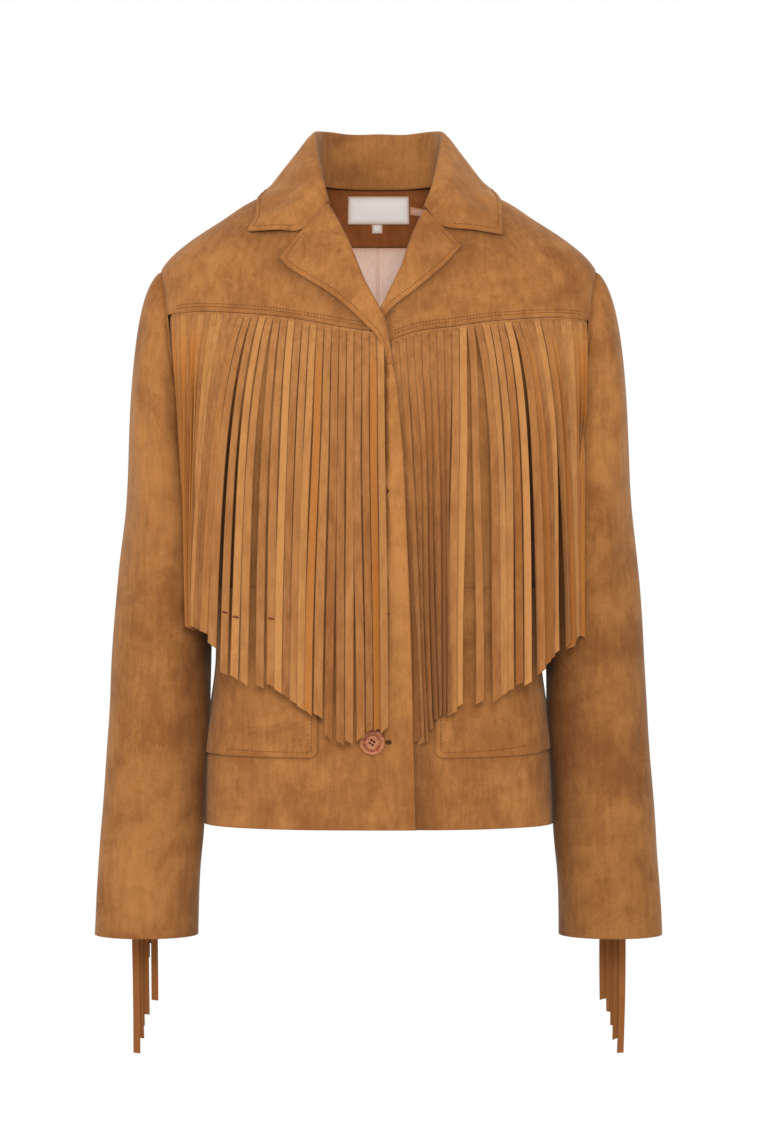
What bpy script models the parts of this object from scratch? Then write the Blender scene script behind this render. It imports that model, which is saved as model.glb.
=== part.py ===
"""Short western jacket in suede, filled out as if worn: two lapped fronts with
yokes and patch pockets, a plain back, long sleeves, a notched collar with turned
lapels, and fringes under the yokes and down the backs of the sleeves.

Left and right are the wearer's. The front faces -Y, the wearer's right is -X,
and the origin lies inside the base of the neck. Sizes are in millimetres here
and in metres in the scene."""

import math

import bpy
import numpy as np
from mathutils import Matrix, Vector

MM = 0.001
WALL = 2.0  # suede
GAP = 0.3  # between pieces that meet at a seam
HALF_GAP = GAP / 2
YOKE_SEAM_CLEARANCE = 0.375  # of a yoke's edge from the front below it
LINING_WALL = 1.0
SUEDE = (0.28, 0.115, 0.034, 1.0)
FACING_BROWN = (0.24, 0.075, 0.021, 1.0)
FRINGE_TAN = (0.28, 0.12, 0.037, 1.0)
LINING_PINK = (0.78, 0.52, 0.40, 1.0)
LABEL_WHITE = (0.85, 0.78, 0.71, 1.0)
BUTTON_CORAL = (0.55, 0.19, 0.09, 1.0)

NECK_Z = 20.0
YOKE_TOP_Z = 17.0
SHOULDER_TIP_Z = -69.0
ARMPIT_Z = -236.0
HEM_Z = -581.0

# Level sections of the body: half width at the side seam, depths in front of and
# behind the origin, where the side seam lies, and how square the section is.
TORSO = (
    ("z", "half_width", "front", "back", "seam_y", "power"),
    (
        (30, 44, 30, 72, 14, 2.0),
        (20, 66, 42, 76, 14, 2.0),
        (8, 92, 50, 81, 12, 2.0),
        (-4, 118, 58, 86, 10, 2.05),
        (-22, 145.5, 68, 93, 8, 2.1),
        (-41, 174, 78, 98, 6, 2.15),
        (-55, 191, 85, 101, 5, 2.2),
        (-69, 202, 90, 103, 4, 2.25),
        (-90, 205, 97, 106, 3, 2.3),
        (-115, 206, 104, 108, 2, 2.35),
        (-154, 203, 113, 110, 0, 2.4),
        (-180, 195, 118, 110, 0, 2.4),
        (-205, 182, 121, 109, 0, 2.4),
        (-225, 168, 122, 108, 0, 2.4),
        (-240, 160, 122, 107, 0, 2.4),
        (-283, 155.5, 120, 102, 0, 2.4),
        (-338, 151.5, 115, 95, 0, 2.4),
        (-394, 149, 111, 90, 0, 2.4),
        (-431, 148.5, 110, 91, 0, 2.4),
        (-469, 153.3, 110, 96, 0, 2.4),
        (-515, 160.5, 110, 103, 0, 2.4),
        (-550, 162.6, 109, 107, 0, 2.4),
        (-581, 163.3, 108, 109, 0, 2.4),
    ),
)

# Level sections of a hanging sleeve.
SLEEVE = (
    ("z", "inner_x", "outer_x", "front_y", "back_y"),
    (
        (-180, 172, 227, -60, 64),
        (-240, 162.5, 231, -64, 66),
        (-300, 157.5, 235.5, -64, 62),
        (-360, 155, 241, -62, 56),
        (-427, 155, 245.5, -60, 47),
        (-470, 156.5, 248.5, -60, 42),
        (-515, 162.4, 251.5, -60, 38),
        (-582, 164.8, 256, -62, 32),
        (-640, 165.8, 259.5, -63, 27),
        (-690, 166.5, 262.5, -64, 23),
    ),
)
SLEEVE_TOP_Z = -300.0
CUFF_Z = -683.5
ARMHOLE_SPREAD_FRONT = 0.40  # radians round the body at mid height
ARMHOLE_SPREAD_BACK = 0.36
CAP_RINGS = 6
SLEEVE_RING_Z = (-340, -385, -427, -470, -515, -560, -610, -650, CUFF_Z)

# Yoke seams, by distance from the middle on each side.
YOKE_SEAM = {
    -1: (
        ("x", "z"),
        (
            (-12, -136), (6, -133.5), (34, -129), (60, -124), (94, -118.5),
            (129, -115), (165, -112.5), (191, -113.5),
        ),
    ),
    1: (
        ("x", "z"),
        (
            (-16, -150), (9, -141.7), (34, -133.4), (66, -128.7), (98, -123.7),
            (131, -120.5), (164, -118), (192, -119),
        ),
    ),
}
# Roll lines of the lapels, which are the inner edges of the yokes.
ROLL_LINE = {
    -1: (
        ("z", "x"),
        (
            (17, 63.5), (8, 59.5), (-12, 50.0), (-41, 34.4), (-63.6, 24.4),
            (-90.6, 13.5), (-114.5, 0.9), (-128, -4.5), (-139, -6.3), (-155, -9.3),
        ),
    ),
    1: (
        ("z", "x"),
        (
            (17, 63.5), (8, 59.0), (-19, 45.2), (-52.3, 30.7), (-82.7, 19.4),
            (-106, 7.5), (-117.3, 3.8), (-128, 7.5), (-142, 9.5),
        ),
    ),
}
# Front edges, by height, as distance past the middle towards the other side.
FRONT_EDGE = {
    -1: (
        ("z", "x"),
        (
            (-133, -5.5), (-139, -6.3), (-152.6, -9.8), (-176, -15.2), (-209, -18.7),
            (-241, -21.4), (-296, -24.1), (-410, -28.7), (-536, -32.3), (-581, -33.3),
        ),
    ),
    1: (("z", "x"), ((-148, -14), (-175, -30), (-300, -30), (-581, -30))),
}
LAP_STEP = 3.0  # from the upper front's edge to where the under front has dropped
LAP_EASE = 13.0
LAP_DEPTH = 2.7
LAP_TOP_Z = (-142.0, -130.0)
LAP_MEETS_ROLL_Z = -139.0
SEAM_END_X = 191.0  # where the yoke seams reach the armhole
FRINGE_DIP = 2.7  # the fronts drop this much under the yoke's edge
STRIP_CLEARANCE = 1.05
FRINGE_DIP_HEIGHT = 24.0

FLANK_X = 135.0
FLANK_COLUMNS = 5
POCKET_INNER_X = {-1: 54.3, 1: 50.3}
POCKET_TOP_Z = -363.0
POCKET_BOTTOM_Z = -516.0
SIDE_ROW_Z = (-275, -320, POCKET_TOP_Z, -400, -435, -475, POCKET_BOTTOM_Z, -550, HEM_Z)
SHOULDER_ROW_Z = (4, -14, -34, -53, -68.6)
YOKE_ARM_ROWS = 3
CHEST_ARM_ROWS = 6
YOKE_COLUMNS = 11
BACK_COLUMNS = 17
BACK_ARM_ROWS = 10

# Lapels: roll line and outer edge, from the gorge to the top button.
LAPEL_ROLL = {
    -1: (
        ("v", "x", "z"),
        (
            (0, 48.3, -15), (0.22, 34.4, -41), (0.44, 24.4, -63.6), (0.66, 13.5, -90.6),
            (0.88, 0.9, -114.5), (1, -4.0, -127),
        ),
    ),
    1: (
        ("v", "x", "z"),
        ((0, 43.8, -21.5), (0.3, 32.6, -46), (0.6, 22.0, -76), (1, 7.5, -106)),
    ),
}
LAPEL_EDGE = {
    -1: (
        ("v", "x", "z"),
        (
            (0, 89.4, -65), (0.07, 84.5, -71.5), (0.22, 68, -84.5), (0.44, 47, -98),
            (0.66, 28, -109), (0.88, 9.5, -125.5), (1, 0.5, -136.5),
        ),
    ),
    1: (
        ("v", "x", "z"),
        ((0, 75, -55), (0.3, 55, -78.5), (0.6, 33, -98), (1, 12.5, -109.5)),
    ),
}
LAPEL_ROWS = 10
ROLL_RADIUS = 3.0
ROLL_CLEAR = 1.2  # from the roll line to the yoke's cut edge
LAPEL_INSIDE = {-1: (14.0, 2.5), 1: (14.0, 9.0)}  # inner turn at the top and the bottom

# Collar sections on one side, from the gorge to the middle of the back. Each has
# the seam, the two sides of the fold, two points of the fall and its outer edge.
COLLAR_END = {
    -1: (
        (45.0, -57, -13), (46, -60.5, -10.5), (50.8, -65, -13.5),
        (67.8, -76, -33.5), (92, -72, -35), (117, -62, -36),
    ),
    1: (
        (41.0, -60, -17), (42, -64, -15), (46.5, -69, -18.5),
        (59.2, -76, -31.5), (86, -73, -37), (112.5, -66, -42),
    ),
}
COLLAR = (
    ((50.5, -48.5, -1), (50.0, -48, 5), (54, -52, 7), (70, -61, -9), (91, -60, -21), (113, -49, -25)),
    ((56.8, -34, 10), (54.0, -30, 24), (58.5, -33, 27), (74, -37, 10), (93, -34, -5), (111, -25, -10)),
    ((62.0, -12, 18), (57.5, -8, 42), (62.0, -10, 44), (76, -12, 27), (93, -11, 9), (109, -8, 0)),
    ((64.5, 14, 20.5), (59.0, 15, 56), (63.6, 16, 57.5), (77, 16, 40), (92, 16, 20), (107, 16, 4)),
    ((54.0, 50, 20.6), (48.5, 54, 62), (52.5, 58, 63), (61, 61, 44.5), (71, 63, 25), (82, 63, 5)),
    ((28.0, 69.5, 20.6), (25.0, 75, 62), (27.0, 80, 63), (31, 83, 44), (36, 85, 25.5), (43, 86, 4)),
    ((0.0, 75.0, 20.6), (0.0, 80, 63), (0.0, 85, 64), (0.0, 88, 44.5), (0.0, 90, 25.5), (0.0, 92, 3)),
)
COLLAR_SIDE_ROWS = 10
COLLAR_COLUMNS = 11
COLLAR_CLEARANCE = 2.4
COLLAR_WALL = 2.2

# Chest fringes: where each strand's root lies along the seam, how far it leans
# outward by its tip, and the line that the tips are cut to.
CHEST_STRANDS = {-1: 31, 1: 28}
CHEST_FRINGE_X = {-1: (-5.0, 189.5), 1: (11.5, 190.5)}
CHEST_LEAN = {
    -1: (
        ("x", "lean"),
        (
            (-4, -3), (4, 5), (10, 12), (16, 15), (23, 19), (30, 19), (37, 16), (50, 14), (64, 14),
            (79, 12.5), (86, 14), (93, 17), (100, 21), (107, 23), (115, 22), (122, 19), (130, 15),
            (138, 10), (147, 5), (156, 0), (165, -3), (173, -6), (180, -10), (190, -17),
        ),
    ),
    1: (
        ("x", "lean"),
        (
            (11, 19), (18, 17), (27, 12.5), (35, 8), (42, 4.5), (49, 2), (56, 0), (63, -2),
            (70, -3.5), (76, -4), (83, 6), (90, 15), (97, 16), (109, 17.5), (118, 15), (127, 11.5),
            (137, 9), (146, 5.5), (155, 2.5), (169, 1.5), (179, -2), (192, -8),
        ),
    ),
}
# How far down the leaning goes on: the drop at which most of it is taken.
CHEST_REACH = {
    -1: (("x", "reach"), ((-5, 900), (30, 700), (60, 220), (85, 120), (130, 110), (190, 150))),
    1: (("x", "reach"), ((11, 900), (40, 600), (60, 200), (83, 60), (120, 60), (150, 100), (192, 150))),
}
CHEST_TIPS = {
    -1: (
        ("x", "z"),
        (
            (-6, -487), (9, -489), (18, -498), (27, -505), (45, -493), (67, -474), (96, -454),
            (120, -449), (144, -430), (157, -408), (172, -401),
        ),
    ),
    1: (
        ("x", "z"),
        (
            (35, -502), (48, -486), (67, -475), (104, -463), (119, -455), (145, -442),
            (157, -422), (170, -419), (184, -406),
        ),
    ),
}
STRAND_WALL = 1.2
CHEST_STRAND_SHARE = 0.91  # of the pitch
CHEST_STRIP_HEIGHT = 5.0
CHEST_STATIONS = (0.0, 0.07, 0.22, 0.55, 1.0)
STRAND_REST = 0.9  # clearance at the root
STRAND_HANG = 7.4  # clearance once it hangs
STRAND_EASE = (2.0, 20.0)
SLANT = 4.0

SLEEVE_STRANDS = 34
SLEEVE_STRAND_LENGTH = 129.0
SLEEVE_STRAND_WIDTH = 7.0
SLEEVE_STRIP_Z = (-246.0, -679.5)
SLEEVE_STRIP_CLEARANCE = 1.3
SLEEVE_SEAM_STEP = 4  # of the back armhole's rows, counted from the shoulder
SLEEVE_STATIONS = (0.0, 0.045, 0.3, 1.0)
SLEEVE_FRINGE_PUSH = 9.0
SLEEVE_FRINGE_FAN = 0.2  # backward drift per unit of drop
SLEEVE_STRAND_SHIFT = (0.0, 3.0, 4.0, 7.5, 13.5)  # inward, from the lowest strand up, repeating

LINING_CLEARANCE = 0.4
LINING_SEAM = 0.9  # between the facing and the lining
FACING_BELOW_NECK = 4.0
LABEL_CLEARANCE = 1.0
FACING_BOTTOM_Z = -37.0
TRIM_WALL = 0.6
# Flat trim on the facing: ends, top edge at each end, height, points along it.
TRIM = (
    ("name", "from_x", "to_x", "from_top", "to_top", "height", "columns"),
    (
        ("label", -30.0, 30.0, 10.5, 10.5, 26.0, 5),
        ("label_tab", -6.5, 4.0, -15.8, -15.8, 8.5, 2),
        ("hang_loop", 30.7, 46.0, 0.6, -1.8, 7.0, 3),
    ),
)

BUTTON_RADIUS = 11.6
BUTTON_WALL = 3.2
BUTTON_CLEARANCE = 0.7
BUTTON_X = -5.8
BUTTON_Z = (-173.6, -276.4, -386.2, -501.6)
BUTTON_HOLE_RADIUS = 1.1
BUTTON_HOLE_SPREAD = 2.3


def smooth(low, high, value):
    """0 below low, 1 above high, with an eased rise between."""
    t = np.clip((np.asarray(value, float) - low) / (high - low), 0, 1)
    return t * t * (3 - 2 * t)


def column(table, name, at):
    """A named column of a table as a smooth curve over its first column."""
    names, rows = table
    data = np.array(rows, float)
    data = data[np.argsort(data[:, 0])]
    x, y = data[:, 0], data[:, names.index(name)]
    slope = np.gradient(y, x)
    at = np.clip(np.asarray(at, float), x[0], x[-1])
    i = np.clip(np.searchsorted(x, at) - 1, 0, len(x) - 2)
    span = x[i + 1] - x[i]
    t = (at - x[i]) / span
    rise = y[i + 1] - y[i]
    bend = (1 - t) * (slope[i] * span - rise) - t * (slope[i + 1] * span - rise)
    return y[i] + t * rise + t * (1 - t) * bend


def section(z):
    return [column(TORSO, name, z) for name in TORSO[0][1:]]


def torso_point(phi, z):
    """Point of the body's outer surface. phi runs from the left side seam (0)
    over the front to the right side seam (pi); the back has negative phi."""
    phi, z = np.broadcast_arrays(np.asarray(phi, float), np.asarray(z, float))
    width, front, back, seam, power = section(z)
    across, deep = np.cos(phi), np.sin(phi)
    depth = np.where(deep > 0, -(front + seam), back - seam)
    x = width * np.sign(across) * np.abs(across) ** (2 / power)
    y = seam + depth * np.abs(deep) ** (2 / power)
    return np.stack([x, y, z], axis=-1)


def unit(vectors):
    length = np.linalg.norm(vectors, axis=-1, keepdims=True)
    return vectors / np.maximum(length, 1e-9)


def torso_normal(phi, z):
    step = 1e-3
    round_body = torso_point(np.add(phi, step), z) - torso_point(np.subtract(phi, step), z)
    up_body = torso_point(phi, np.add(z, 0.5)) - torso_point(phi, np.subtract(z, 0.5))
    return unit(np.cross(up_body, round_body))


def phi_front(x, z):
    """Angle of the front point at distance x from the middle plane."""
    width, _, _, _, power = section(z)
    share = np.clip(np.abs(x) / width, 0, 1)
    return np.arccos(np.clip(np.sign(x) * share ** (power / 2), -1, 1))


def seam_phi(z, back):
    """Angle that stays half a gap from the side and shoulder seams."""
    _, front, behind, seam, power = section(z)
    depth = behind - seam if back else front + seam
    return (HALF_GAP / depth) ** (power / 2)


def armhole_phi(turn, spread):
    return spread * np.abs(np.sin(turn)) ** 0.84


def armhole_z(turn):
    """Height on the armhole: turn 0 is the shoulder tip, pi the armpit."""
    half = (SHOULDER_TIP_Z - ARMPIT_Z) / 2
    return ARMPIT_Z + half * (1 + np.cos(turn))


def armhole_ring(turn, inset):
    """Points and normals on the body's surface, inset into the armhole."""
    spread = np.where(np.sin(turn) >= 0, ARMHOLE_SPREAD_FRONT, ARMHOLE_SPREAD_BACK)
    side = np.where(np.sin(turn) >= 0, 1.0, -1.0)

    def spot(at):
        return side * armhole_phi(at, spread), armhole_z(at)

    phi, z = spot(turn)
    middle_phi, middle_z = 0.0, (SHOULDER_TIP_Z + ARMPIT_Z) / 2
    reach = torso_point(phi, z) - torso_point(middle_phi, middle_z)
    share = 1 - inset / np.linalg.norm(reach, axis=-1)
    phi = middle_phi + (phi - middle_phi) * share
    z = middle_z + (z - middle_z) * share
    return torso_point(phi, z), torso_normal(phi, z)


def mirrored(points, side):
    return np.asarray(points) * np.array([side, 1.0, 1.0])


def body_drop(side, x, z):
    """How far the fronts' outer surface lies under the plain body: the left
    front drops where it passes under the right front's edge."""
    if side < 0:
        return np.zeros(np.broadcast(x, z).shape)
    roll = -column(ROLL_LINE[-1], "x", z)
    edge = np.where(np.asarray(z) > LAP_MEETS_ROLL_Z, roll, -column(FRONT_EDGE[-1], "x", z))
    under = 1 - np.clip((x - edge - LAP_STEP) / LAP_EASE, 0, 1)
    return LAP_DEPTH * under * (1 - smooth(*LAP_TOP_Z, z))


def fringe_dip(side, x, z):
    """How far a front drops under the edge of its yoke."""
    seam = column(YOKE_SEAM[side], "z", x)
    return FRINGE_DIP * (1 - smooth(0, FRINGE_DIP_HEIGHT, seam - z))


def front_surface(side, phi, z, out):
    """Outer surface of a front or yoke, moved out; side 1 has positive x."""
    x = torso_point(phi, z)[..., 0]
    lifted = out - body_drop(side, x, z)
    point = torso_point(phi, z) + lifted[..., None] * torso_normal(phi, z)
    return mirrored(point, side)


def grid_faces(rows, columns, wrap=False):
    faces = []
    for r in range(rows - 1):
        for c in range(columns if wrap else columns - 1):
            d = (c + 1) % columns
            low, high = r * columns, (r + 1) * columns
            faces.append((low + c, low + d, high + d, high + c))
    return faces


def wall(name, outer, inner, faces, look):
    """Closed wall between two like sheets of points, with its rims."""
    outer, inner = np.reshape(outer, (-1, 3)), np.reshape(inner, (-1, 3))
    faces = [tri for f in faces for tri in ((f[0], f[1], f[2]), (f[0], f[2], f[3]))]
    count = len(outer)
    directed = {(f[i], f[(i + 1) % 3]) for f in faces for i in range(3)}
    closed = list(faces)
    closed += [tuple(count + i for i in reversed(f)) for f in faces]
    closed += [(b, a, a + count, b + count) for a, b in sorted(directed) if (b, a) not in directed]
    return solid(name, np.concatenate([outer, inner]), closed, look)


def signed_volume(points, faces):
    fans = [(f[0], f[i], f[i + 1]) for f in faces for i in range(1, len(f) - 1)]
    return float(np.linalg.det(points[np.array(fans)]).sum())


def solid(name, points, faces, look):
    """Closed mesh of consistently wound faces, turned to face outward."""
    points = np.asarray(points, float)
    if signed_volume(points, faces) < 0:
        faces = [tuple(reversed(f)) for f in faces]
    mesh = bpy.data.meshes.new(name)
    mesh.from_pydata((points * MM).tolist(), [], faces)
    mesh.shade_smooth()
    mesh.set_sharp_from_angle(angle=math.radians(35))
    mesh.materials.append(look)
    made_object = bpy.data.objects.new(name, mesh)
    bpy.data.collections["fringed_jacket"].objects.link(made_object)
    return made_object


def material(name, colour, roughness):
    made = bpy.data.materials.new(name)
    made.use_nodes = True
    shader = made.node_tree.nodes["Principled BSDF"]
    shader.inputs["Base Color"].default_value = colour
    shader.inputs["Roughness"].default_value = roughness
    shader.inputs["Metallic"].default_value = 0.0
    return made


def front_rows(side):
    """Heights and outer angles of a front's rows, from the yoke seam to the hem."""
    seam_end = float(column(YOKE_SEAM[side], "z", SEAM_END_X))
    middle = (SHOULDER_TIP_Z + ARMPIT_Z) / 2
    half = (SHOULDER_TIP_Z - ARMPIT_Z) / 2
    start = math.acos((seam_end - middle) / half)
    turns = np.linspace(start, math.pi, CHEST_ARM_ROWS + 1)
    phis = armhole_phi(turns, ARMHOLE_SPREAD_FRONT)
    heights = armhole_z(turns)
    rows = [(float(z), max(float(p), float(seam_phi(z, False)))) for z, p in zip(heights, phis)]
    rows += [(float(z), float(seam_phi(z, False))) for z in SIDE_ROW_Z]
    return rows, start


def front_grid(side):
    """(phi, z) of each point of a front, with side 1's angles."""
    rows, _ = front_rows(side)
    seam_end = rows[0][0]
    grid = []
    for z_out, phi_out in rows:
        fade = 1 - smooth(0, 1, (seam_end - z_out) / (seam_end - ARMPIT_Z))
        z_edge = z_out + (column(YOKE_SEAM[side], "z", 0) - seam_end) * fade
        edge = float(column(FRONT_EDGE[side], "x", z_edge))
        pocket = POCKET_INNER_X[side]
        if side < 0:
            inner = [edge, edge * 0.35, 14, 34, pocket, 75, 96, 116]
        else:
            z_lap = z_out + (float(column(YOKE_SEAM[side], "z", 12)) - seam_end) * float(fade)
            lap = -float(column(FRONT_EDGE[-1], "x", z_lap)) + LAP_STEP
            inner = [edge, (2 * edge + lap) / 3, (edge + 2 * lap) / 3, lap, lap + LAP_EASE]
            inner += [pocket, 72, 94, 115]
        z_in = [z_out + (float(column(YOKE_SEAM[side], "z", x)) - seam_end) * float(fade) for x in inner]
        line = [(float(phi_front(x, z)), z) for x, z in zip(inner, z_in)]
        phi_flank = float(phi_front(FLANK_X, z_out))
        for step in range(FLANK_COLUMNS):
            phi = phi_flank + (phi_out - phi_flank) * step / (FLANK_COLUMNS - 1)
            x = float(torso_point(phi, z_out)[0])
            z = z_out + (float(column(YOKE_SEAM[side], "z", x)) - seam_end) * float(fade)
            line.append((phi, z))
        grid.append(line)
    grid = np.array(grid)
    grid[0, :, 1] -= HALF_GAP
    return grid


def front(side, suede):
    grid = front_grid(side)
    phi, z = grid[..., 0], grid[..., 1]
    x = torso_point(phi, z)[..., 0]
    dip = fringe_dip(side, x, z)
    outer = front_surface(side, phi, z, -dip)
    inner = front_surface(side, phi, z, -dip - WALL)
    wall("front_left" if side > 0 else "front_right", outer, inner, grid_faces(*phi.shape), suede)


def yoke_grid(side):
    """(phi, z) of each point of a front yoke, from the neck to the seam."""
    _, start = front_rows(side)
    seam_end = float(column(YOKE_SEAM[side], "z", SEAM_END_X))
    turns = np.linspace(0, start, YOKE_ARM_ROWS + 2)[1:]
    rows = [(z, float(seam_phi(z, False))) for z in (YOKE_TOP_Z,) + SHOULDER_ROW_Z]
    rows += [(float(armhole_z(t)), float(armhole_phi(t, ARMHOLE_SPREAD_FRONT))) for t in turns]
    grid = []
    for z_out, phi_out in rows:
        fade = float(smooth(-10, seam_end, z_out)) if z_out > seam_end else 1.0
        line = []
        for step in range(YOKE_COLUMNS):
            share = step / (YOKE_COLUMNS - 1)
            z = z_out
            for _ in range(4):
                x_in = float(column(ROLL_LINE[side], "x", z)) + ROLL_CLEAR
                phi_in = float(phi_front(x_in, z))
                phi = phi_in + (phi_out - phi_in) * share
                x = float(torso_point(phi, z)[0])
                z = z_out + (float(column(YOKE_SEAM[side], "z", x)) - seam_end) * fade
            line.append((phi, z))
        grid.append(line)
    grid = np.array(grid)
    grid[-1, :, 1] += YOKE_SEAM_CLEARANCE
    return grid



def yoke(side, suede):
    grid = yoke_grid(side)
    phi, z = grid[..., 0], grid[..., 1]
    outer = front_surface(side, phi, z, np.zeros(phi.shape))
    inner = front_surface(side, phi, z, np.full(phi.shape, -WALL))
    wall("yoke_left" if side > 0 else "yoke_right", outer, inner, grid_faces(*phi.shape), suede)


def back_grid():
    """(phi, z) of each point of the back, from the neck to the hem."""
    turns = np.linspace(0, math.pi, BACK_ARM_ROWS + 1)[1:]
    rows = [(z, float(seam_phi(z, True))) for z in (NECK_Z - HALF_GAP,) + SHOULDER_ROW_Z]
    for turn in turns:
        z = float(armhole_z(turn))
        rows.append((z, max(float(armhole_phi(turn, ARMHOLE_SPREAD_BACK)), float(seam_phi(z, True)))))
    rows += [(float(z), float(seam_phi(z, True))) for z in SIDE_ROW_Z]
    share = np.linspace(0, 1, BACK_COLUMNS)
    return np.array([[(-(p + (math.pi - 2 * p) * s), z) for s in share] for z, p in rows])


def back_sheet(grid, out):
    point = torso_point(grid[..., 0], grid[..., 1])
    return point + out * torso_normal(grid[..., 0], grid[..., 1])


def back(suede):
    grid = back_grid()
    faces = grid_faces(*grid.shape[:2])
    wall("back", back_sheet(grid, 0.0), back_sheet(grid, -WALL), faces, suede)


def inner_back(facing_brown, lining_pink):
    """Facing and lining, made from the back's points moved in."""
    grid = back_grid()
    out = -WALL - LINING_CLEARANCE
    upper = grid[:4, 2:-2].copy()
    upper[0, :, 1] = NECK_Z - FACING_BELOW_NECK
    upper[-1, :, 1] = FACING_BOTTOM_Z
    lower = grid[3:-1, 2:-2:2].copy()
    lower[0, :, 1] = FACING_BOTTOM_Z - LINING_SEAM
    for name, part, look in (("neck_facing", upper, facing_brown), ("back_lining", lower, lining_pink)):
        faces = grid_faces(*part.shape[:2])
        wall(name, back_sheet(part, out), back_sheet(part, out - LINING_WALL), faces, look)


def trim(looks):
    """Blank woven label, its small tab and the stub of the ribbon loop beside it."""
    out = -WALL - LINING_CLEARANCE - LINING_WALL - LABEL_CLEARANCE
    for name, from_x, to_x, from_top, to_top, height, columns in TRIM[1]:
        x = np.linspace(from_x, to_x, columns)
        top = np.linspace(from_top, to_top, columns)
        zs = top - np.linspace(0, height, 3)[:, None]
        xs = np.broadcast_to(x, zs.shape)
        grid = np.stack([-phi_front(xs, zs), zs], axis=-1)
        faces = grid_faces(*xs.shape)
        wall(name, back_sheet(grid, out), back_sheet(grid, out - TRIM_WALL), faces, looks[name])


def sleeve_section(turn, z):
    """Point of a hanging sleeve; turn 0 is its outer side, pi/2 its front."""
    inner_x, outer_x, front_y, back_y = [column(SLEEVE, name, z) for name in SLEEVE[0][1:]]
    x = (inner_x + outer_x) / 2 + (outer_x - inner_x) / 2 * np.cos(turn)
    y = (front_y + back_y) / 2 - (back_y - front_y) / 2 * np.sin(turn)
    return np.stack(np.broadcast_arrays(x, y, np.asarray(z, float)), axis=-1)


def sleeve_turns(side):
    """Turns round a sleeve that match the rows of the panels at its armhole."""
    _, start = front_rows(side)
    over = np.linspace(0, start, YOKE_ARM_ROWS + 2)[:-1]
    front_turns = np.linspace(start, math.pi, CHEST_ARM_ROWS + 1)
    back_turns = 2 * math.pi - np.linspace(0, math.pi, BACK_ARM_ROWS + 1)[-2:0:-1]
    return np.concatenate([over, front_turns, back_turns])


def sleeve_rings(side):
    """Rings of a sleeve from the armhole to the cuff, on side 1."""
    turns = sleeve_turns(side)
    start, _ = armhole_ring(turns, GAP)
    end = sleeve_section(turns, SLEEVE_TOP_Z)
    end_slope = sleeve_section(turns, SLEEVE_TOP_Z - 1) - end
    reach = np.linalg.norm(end - start, axis=-1, keepdims=True)
    up = (1 + np.cos(turns)) / 2
    lift = np.stack([0.16 + 0.72 * up, -0.36 * np.sin(turns), -0.95 + 0.30 * up], axis=-1)
    start_pull = unit(lift) * reach * (0.85 - 0.34 * up)[:, None]
    end_pull = end_slope * reach * 0.9
    rings = []
    for t in np.linspace(0, 1, CAP_RINGS + 1) ** 1.25:
        h = ((1 + 2 * t) * (1 - t) ** 2, t * (1 - t) ** 2, t * t * (3 - 2 * t), t * t * (t - 1))
        rings.append(h[0] * start + h[1] * start_pull + h[2] * end + h[3] * end_pull)
    rings += [sleeve_section(turns, z) for z in SLEEVE_RING_Z]
    return np.array(rings)


def sleeve_normals(rings, side):
    round_sleeve = np.roll(rings, -1, axis=1) - np.roll(rings, 1, axis=1)
    along = np.gradient(rings, axis=0)
    normals = unit(np.cross(round_sleeve, along))
    outward = rings - rings.mean(axis=1, keepdims=True)
    flip = np.sign(np.sum(normals * outward, axis=-1, keepdims=True))
    normals = normals * np.where(flip == 0, 1, flip)
    normals[0] = armhole_ring(sleeve_turns(side), GAP)[1]
    return normals


def sleeve(side, suede):
    rings = sleeve_rings(side)
    inner = rings - WALL * sleeve_normals(rings, side)
    name = "sleeve_left" if side > 0 else "sleeve_right"
    faces = grid_faces(*rings.shape[:2], wrap=True)
    wall(name, mirrored(rings, side), mirrored(inner, side), faces, suede)


def lifted(points, gap):
    """Points moved out until they clear the plain body by the gap."""
    points = np.array(points, float)

    def height(at):
        width, front_depth, back_depth, seam, power = section(at[..., 2])
        depth = np.where(at[..., 1] < seam, front_depth + seam, back_depth - seam)
        ratio = np.abs(at[..., 0]) / width, np.abs(at[..., 1] - seam) / depth
        return (ratio[0] ** power + ratio[1] ** power) ** (1 / power) - 1

    for _ in range(4):
        here = height(points)
        steps = np.eye(3) * 0.2
        slope = np.stack([(height(points + s) - height(points - s)) / 0.4 for s in steps], axis=-1)
        length = np.linalg.norm(slope, axis=-1)
        short = np.maximum(0, gap - here / length)
        points += (short / length)[..., None] * slope
    return points


def spline(points, count):
    """Smooth curve through a few points, resampled by its own parameter."""
    points = np.array(points, float)
    at = np.linspace(0, len(points) - 1, count)
    i = np.minimum(at.astype(int), len(points) - 2)
    t = (at - i).reshape(-1, *[1] * (points.ndim - 1))
    slope = np.gradient(points, axis=0)
    rise = points[i + 1] - points[i]
    bend = (1 - t) * (slope[i] - rise) - t * (slope[i + 1] - rise)
    return points[i] + t * rise + t * (1 - t) * bend


def collar_sheet():
    """Middle surface of the collar, from one gorge round the back to the other."""
    halves = []
    for side in (-1, 1):
        half = spline((COLLAR_END[side],) + COLLAR, COLLAR_SIDE_ROWS)
        half = np.array([spline(row, COLLAR_COLUMNS) for row in half])
        fall = np.arange(COLLAR_COLUMNS) >= COLLAR_COLUMNS // 2
        half[:, fall] = lifted(half[:, fall], COLLAR_CLEARANCE)
        halves.append(mirrored(half, side))
    return np.concatenate([halves[0][:-1], halves[1][::-1]])


def sheet_normals(sheet):
    return unit(np.cross(np.gradient(sheet, axis=0), np.gradient(sheet, axis=1)))


def collar(suede):
    sheet = collar_sheet()
    shift = sheet_normals(sheet) * COLLAR_WALL / 2
    wall("collar", sheet + shift, sheet - shift, grid_faces(*sheet.shape[:2]), suede)


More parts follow.
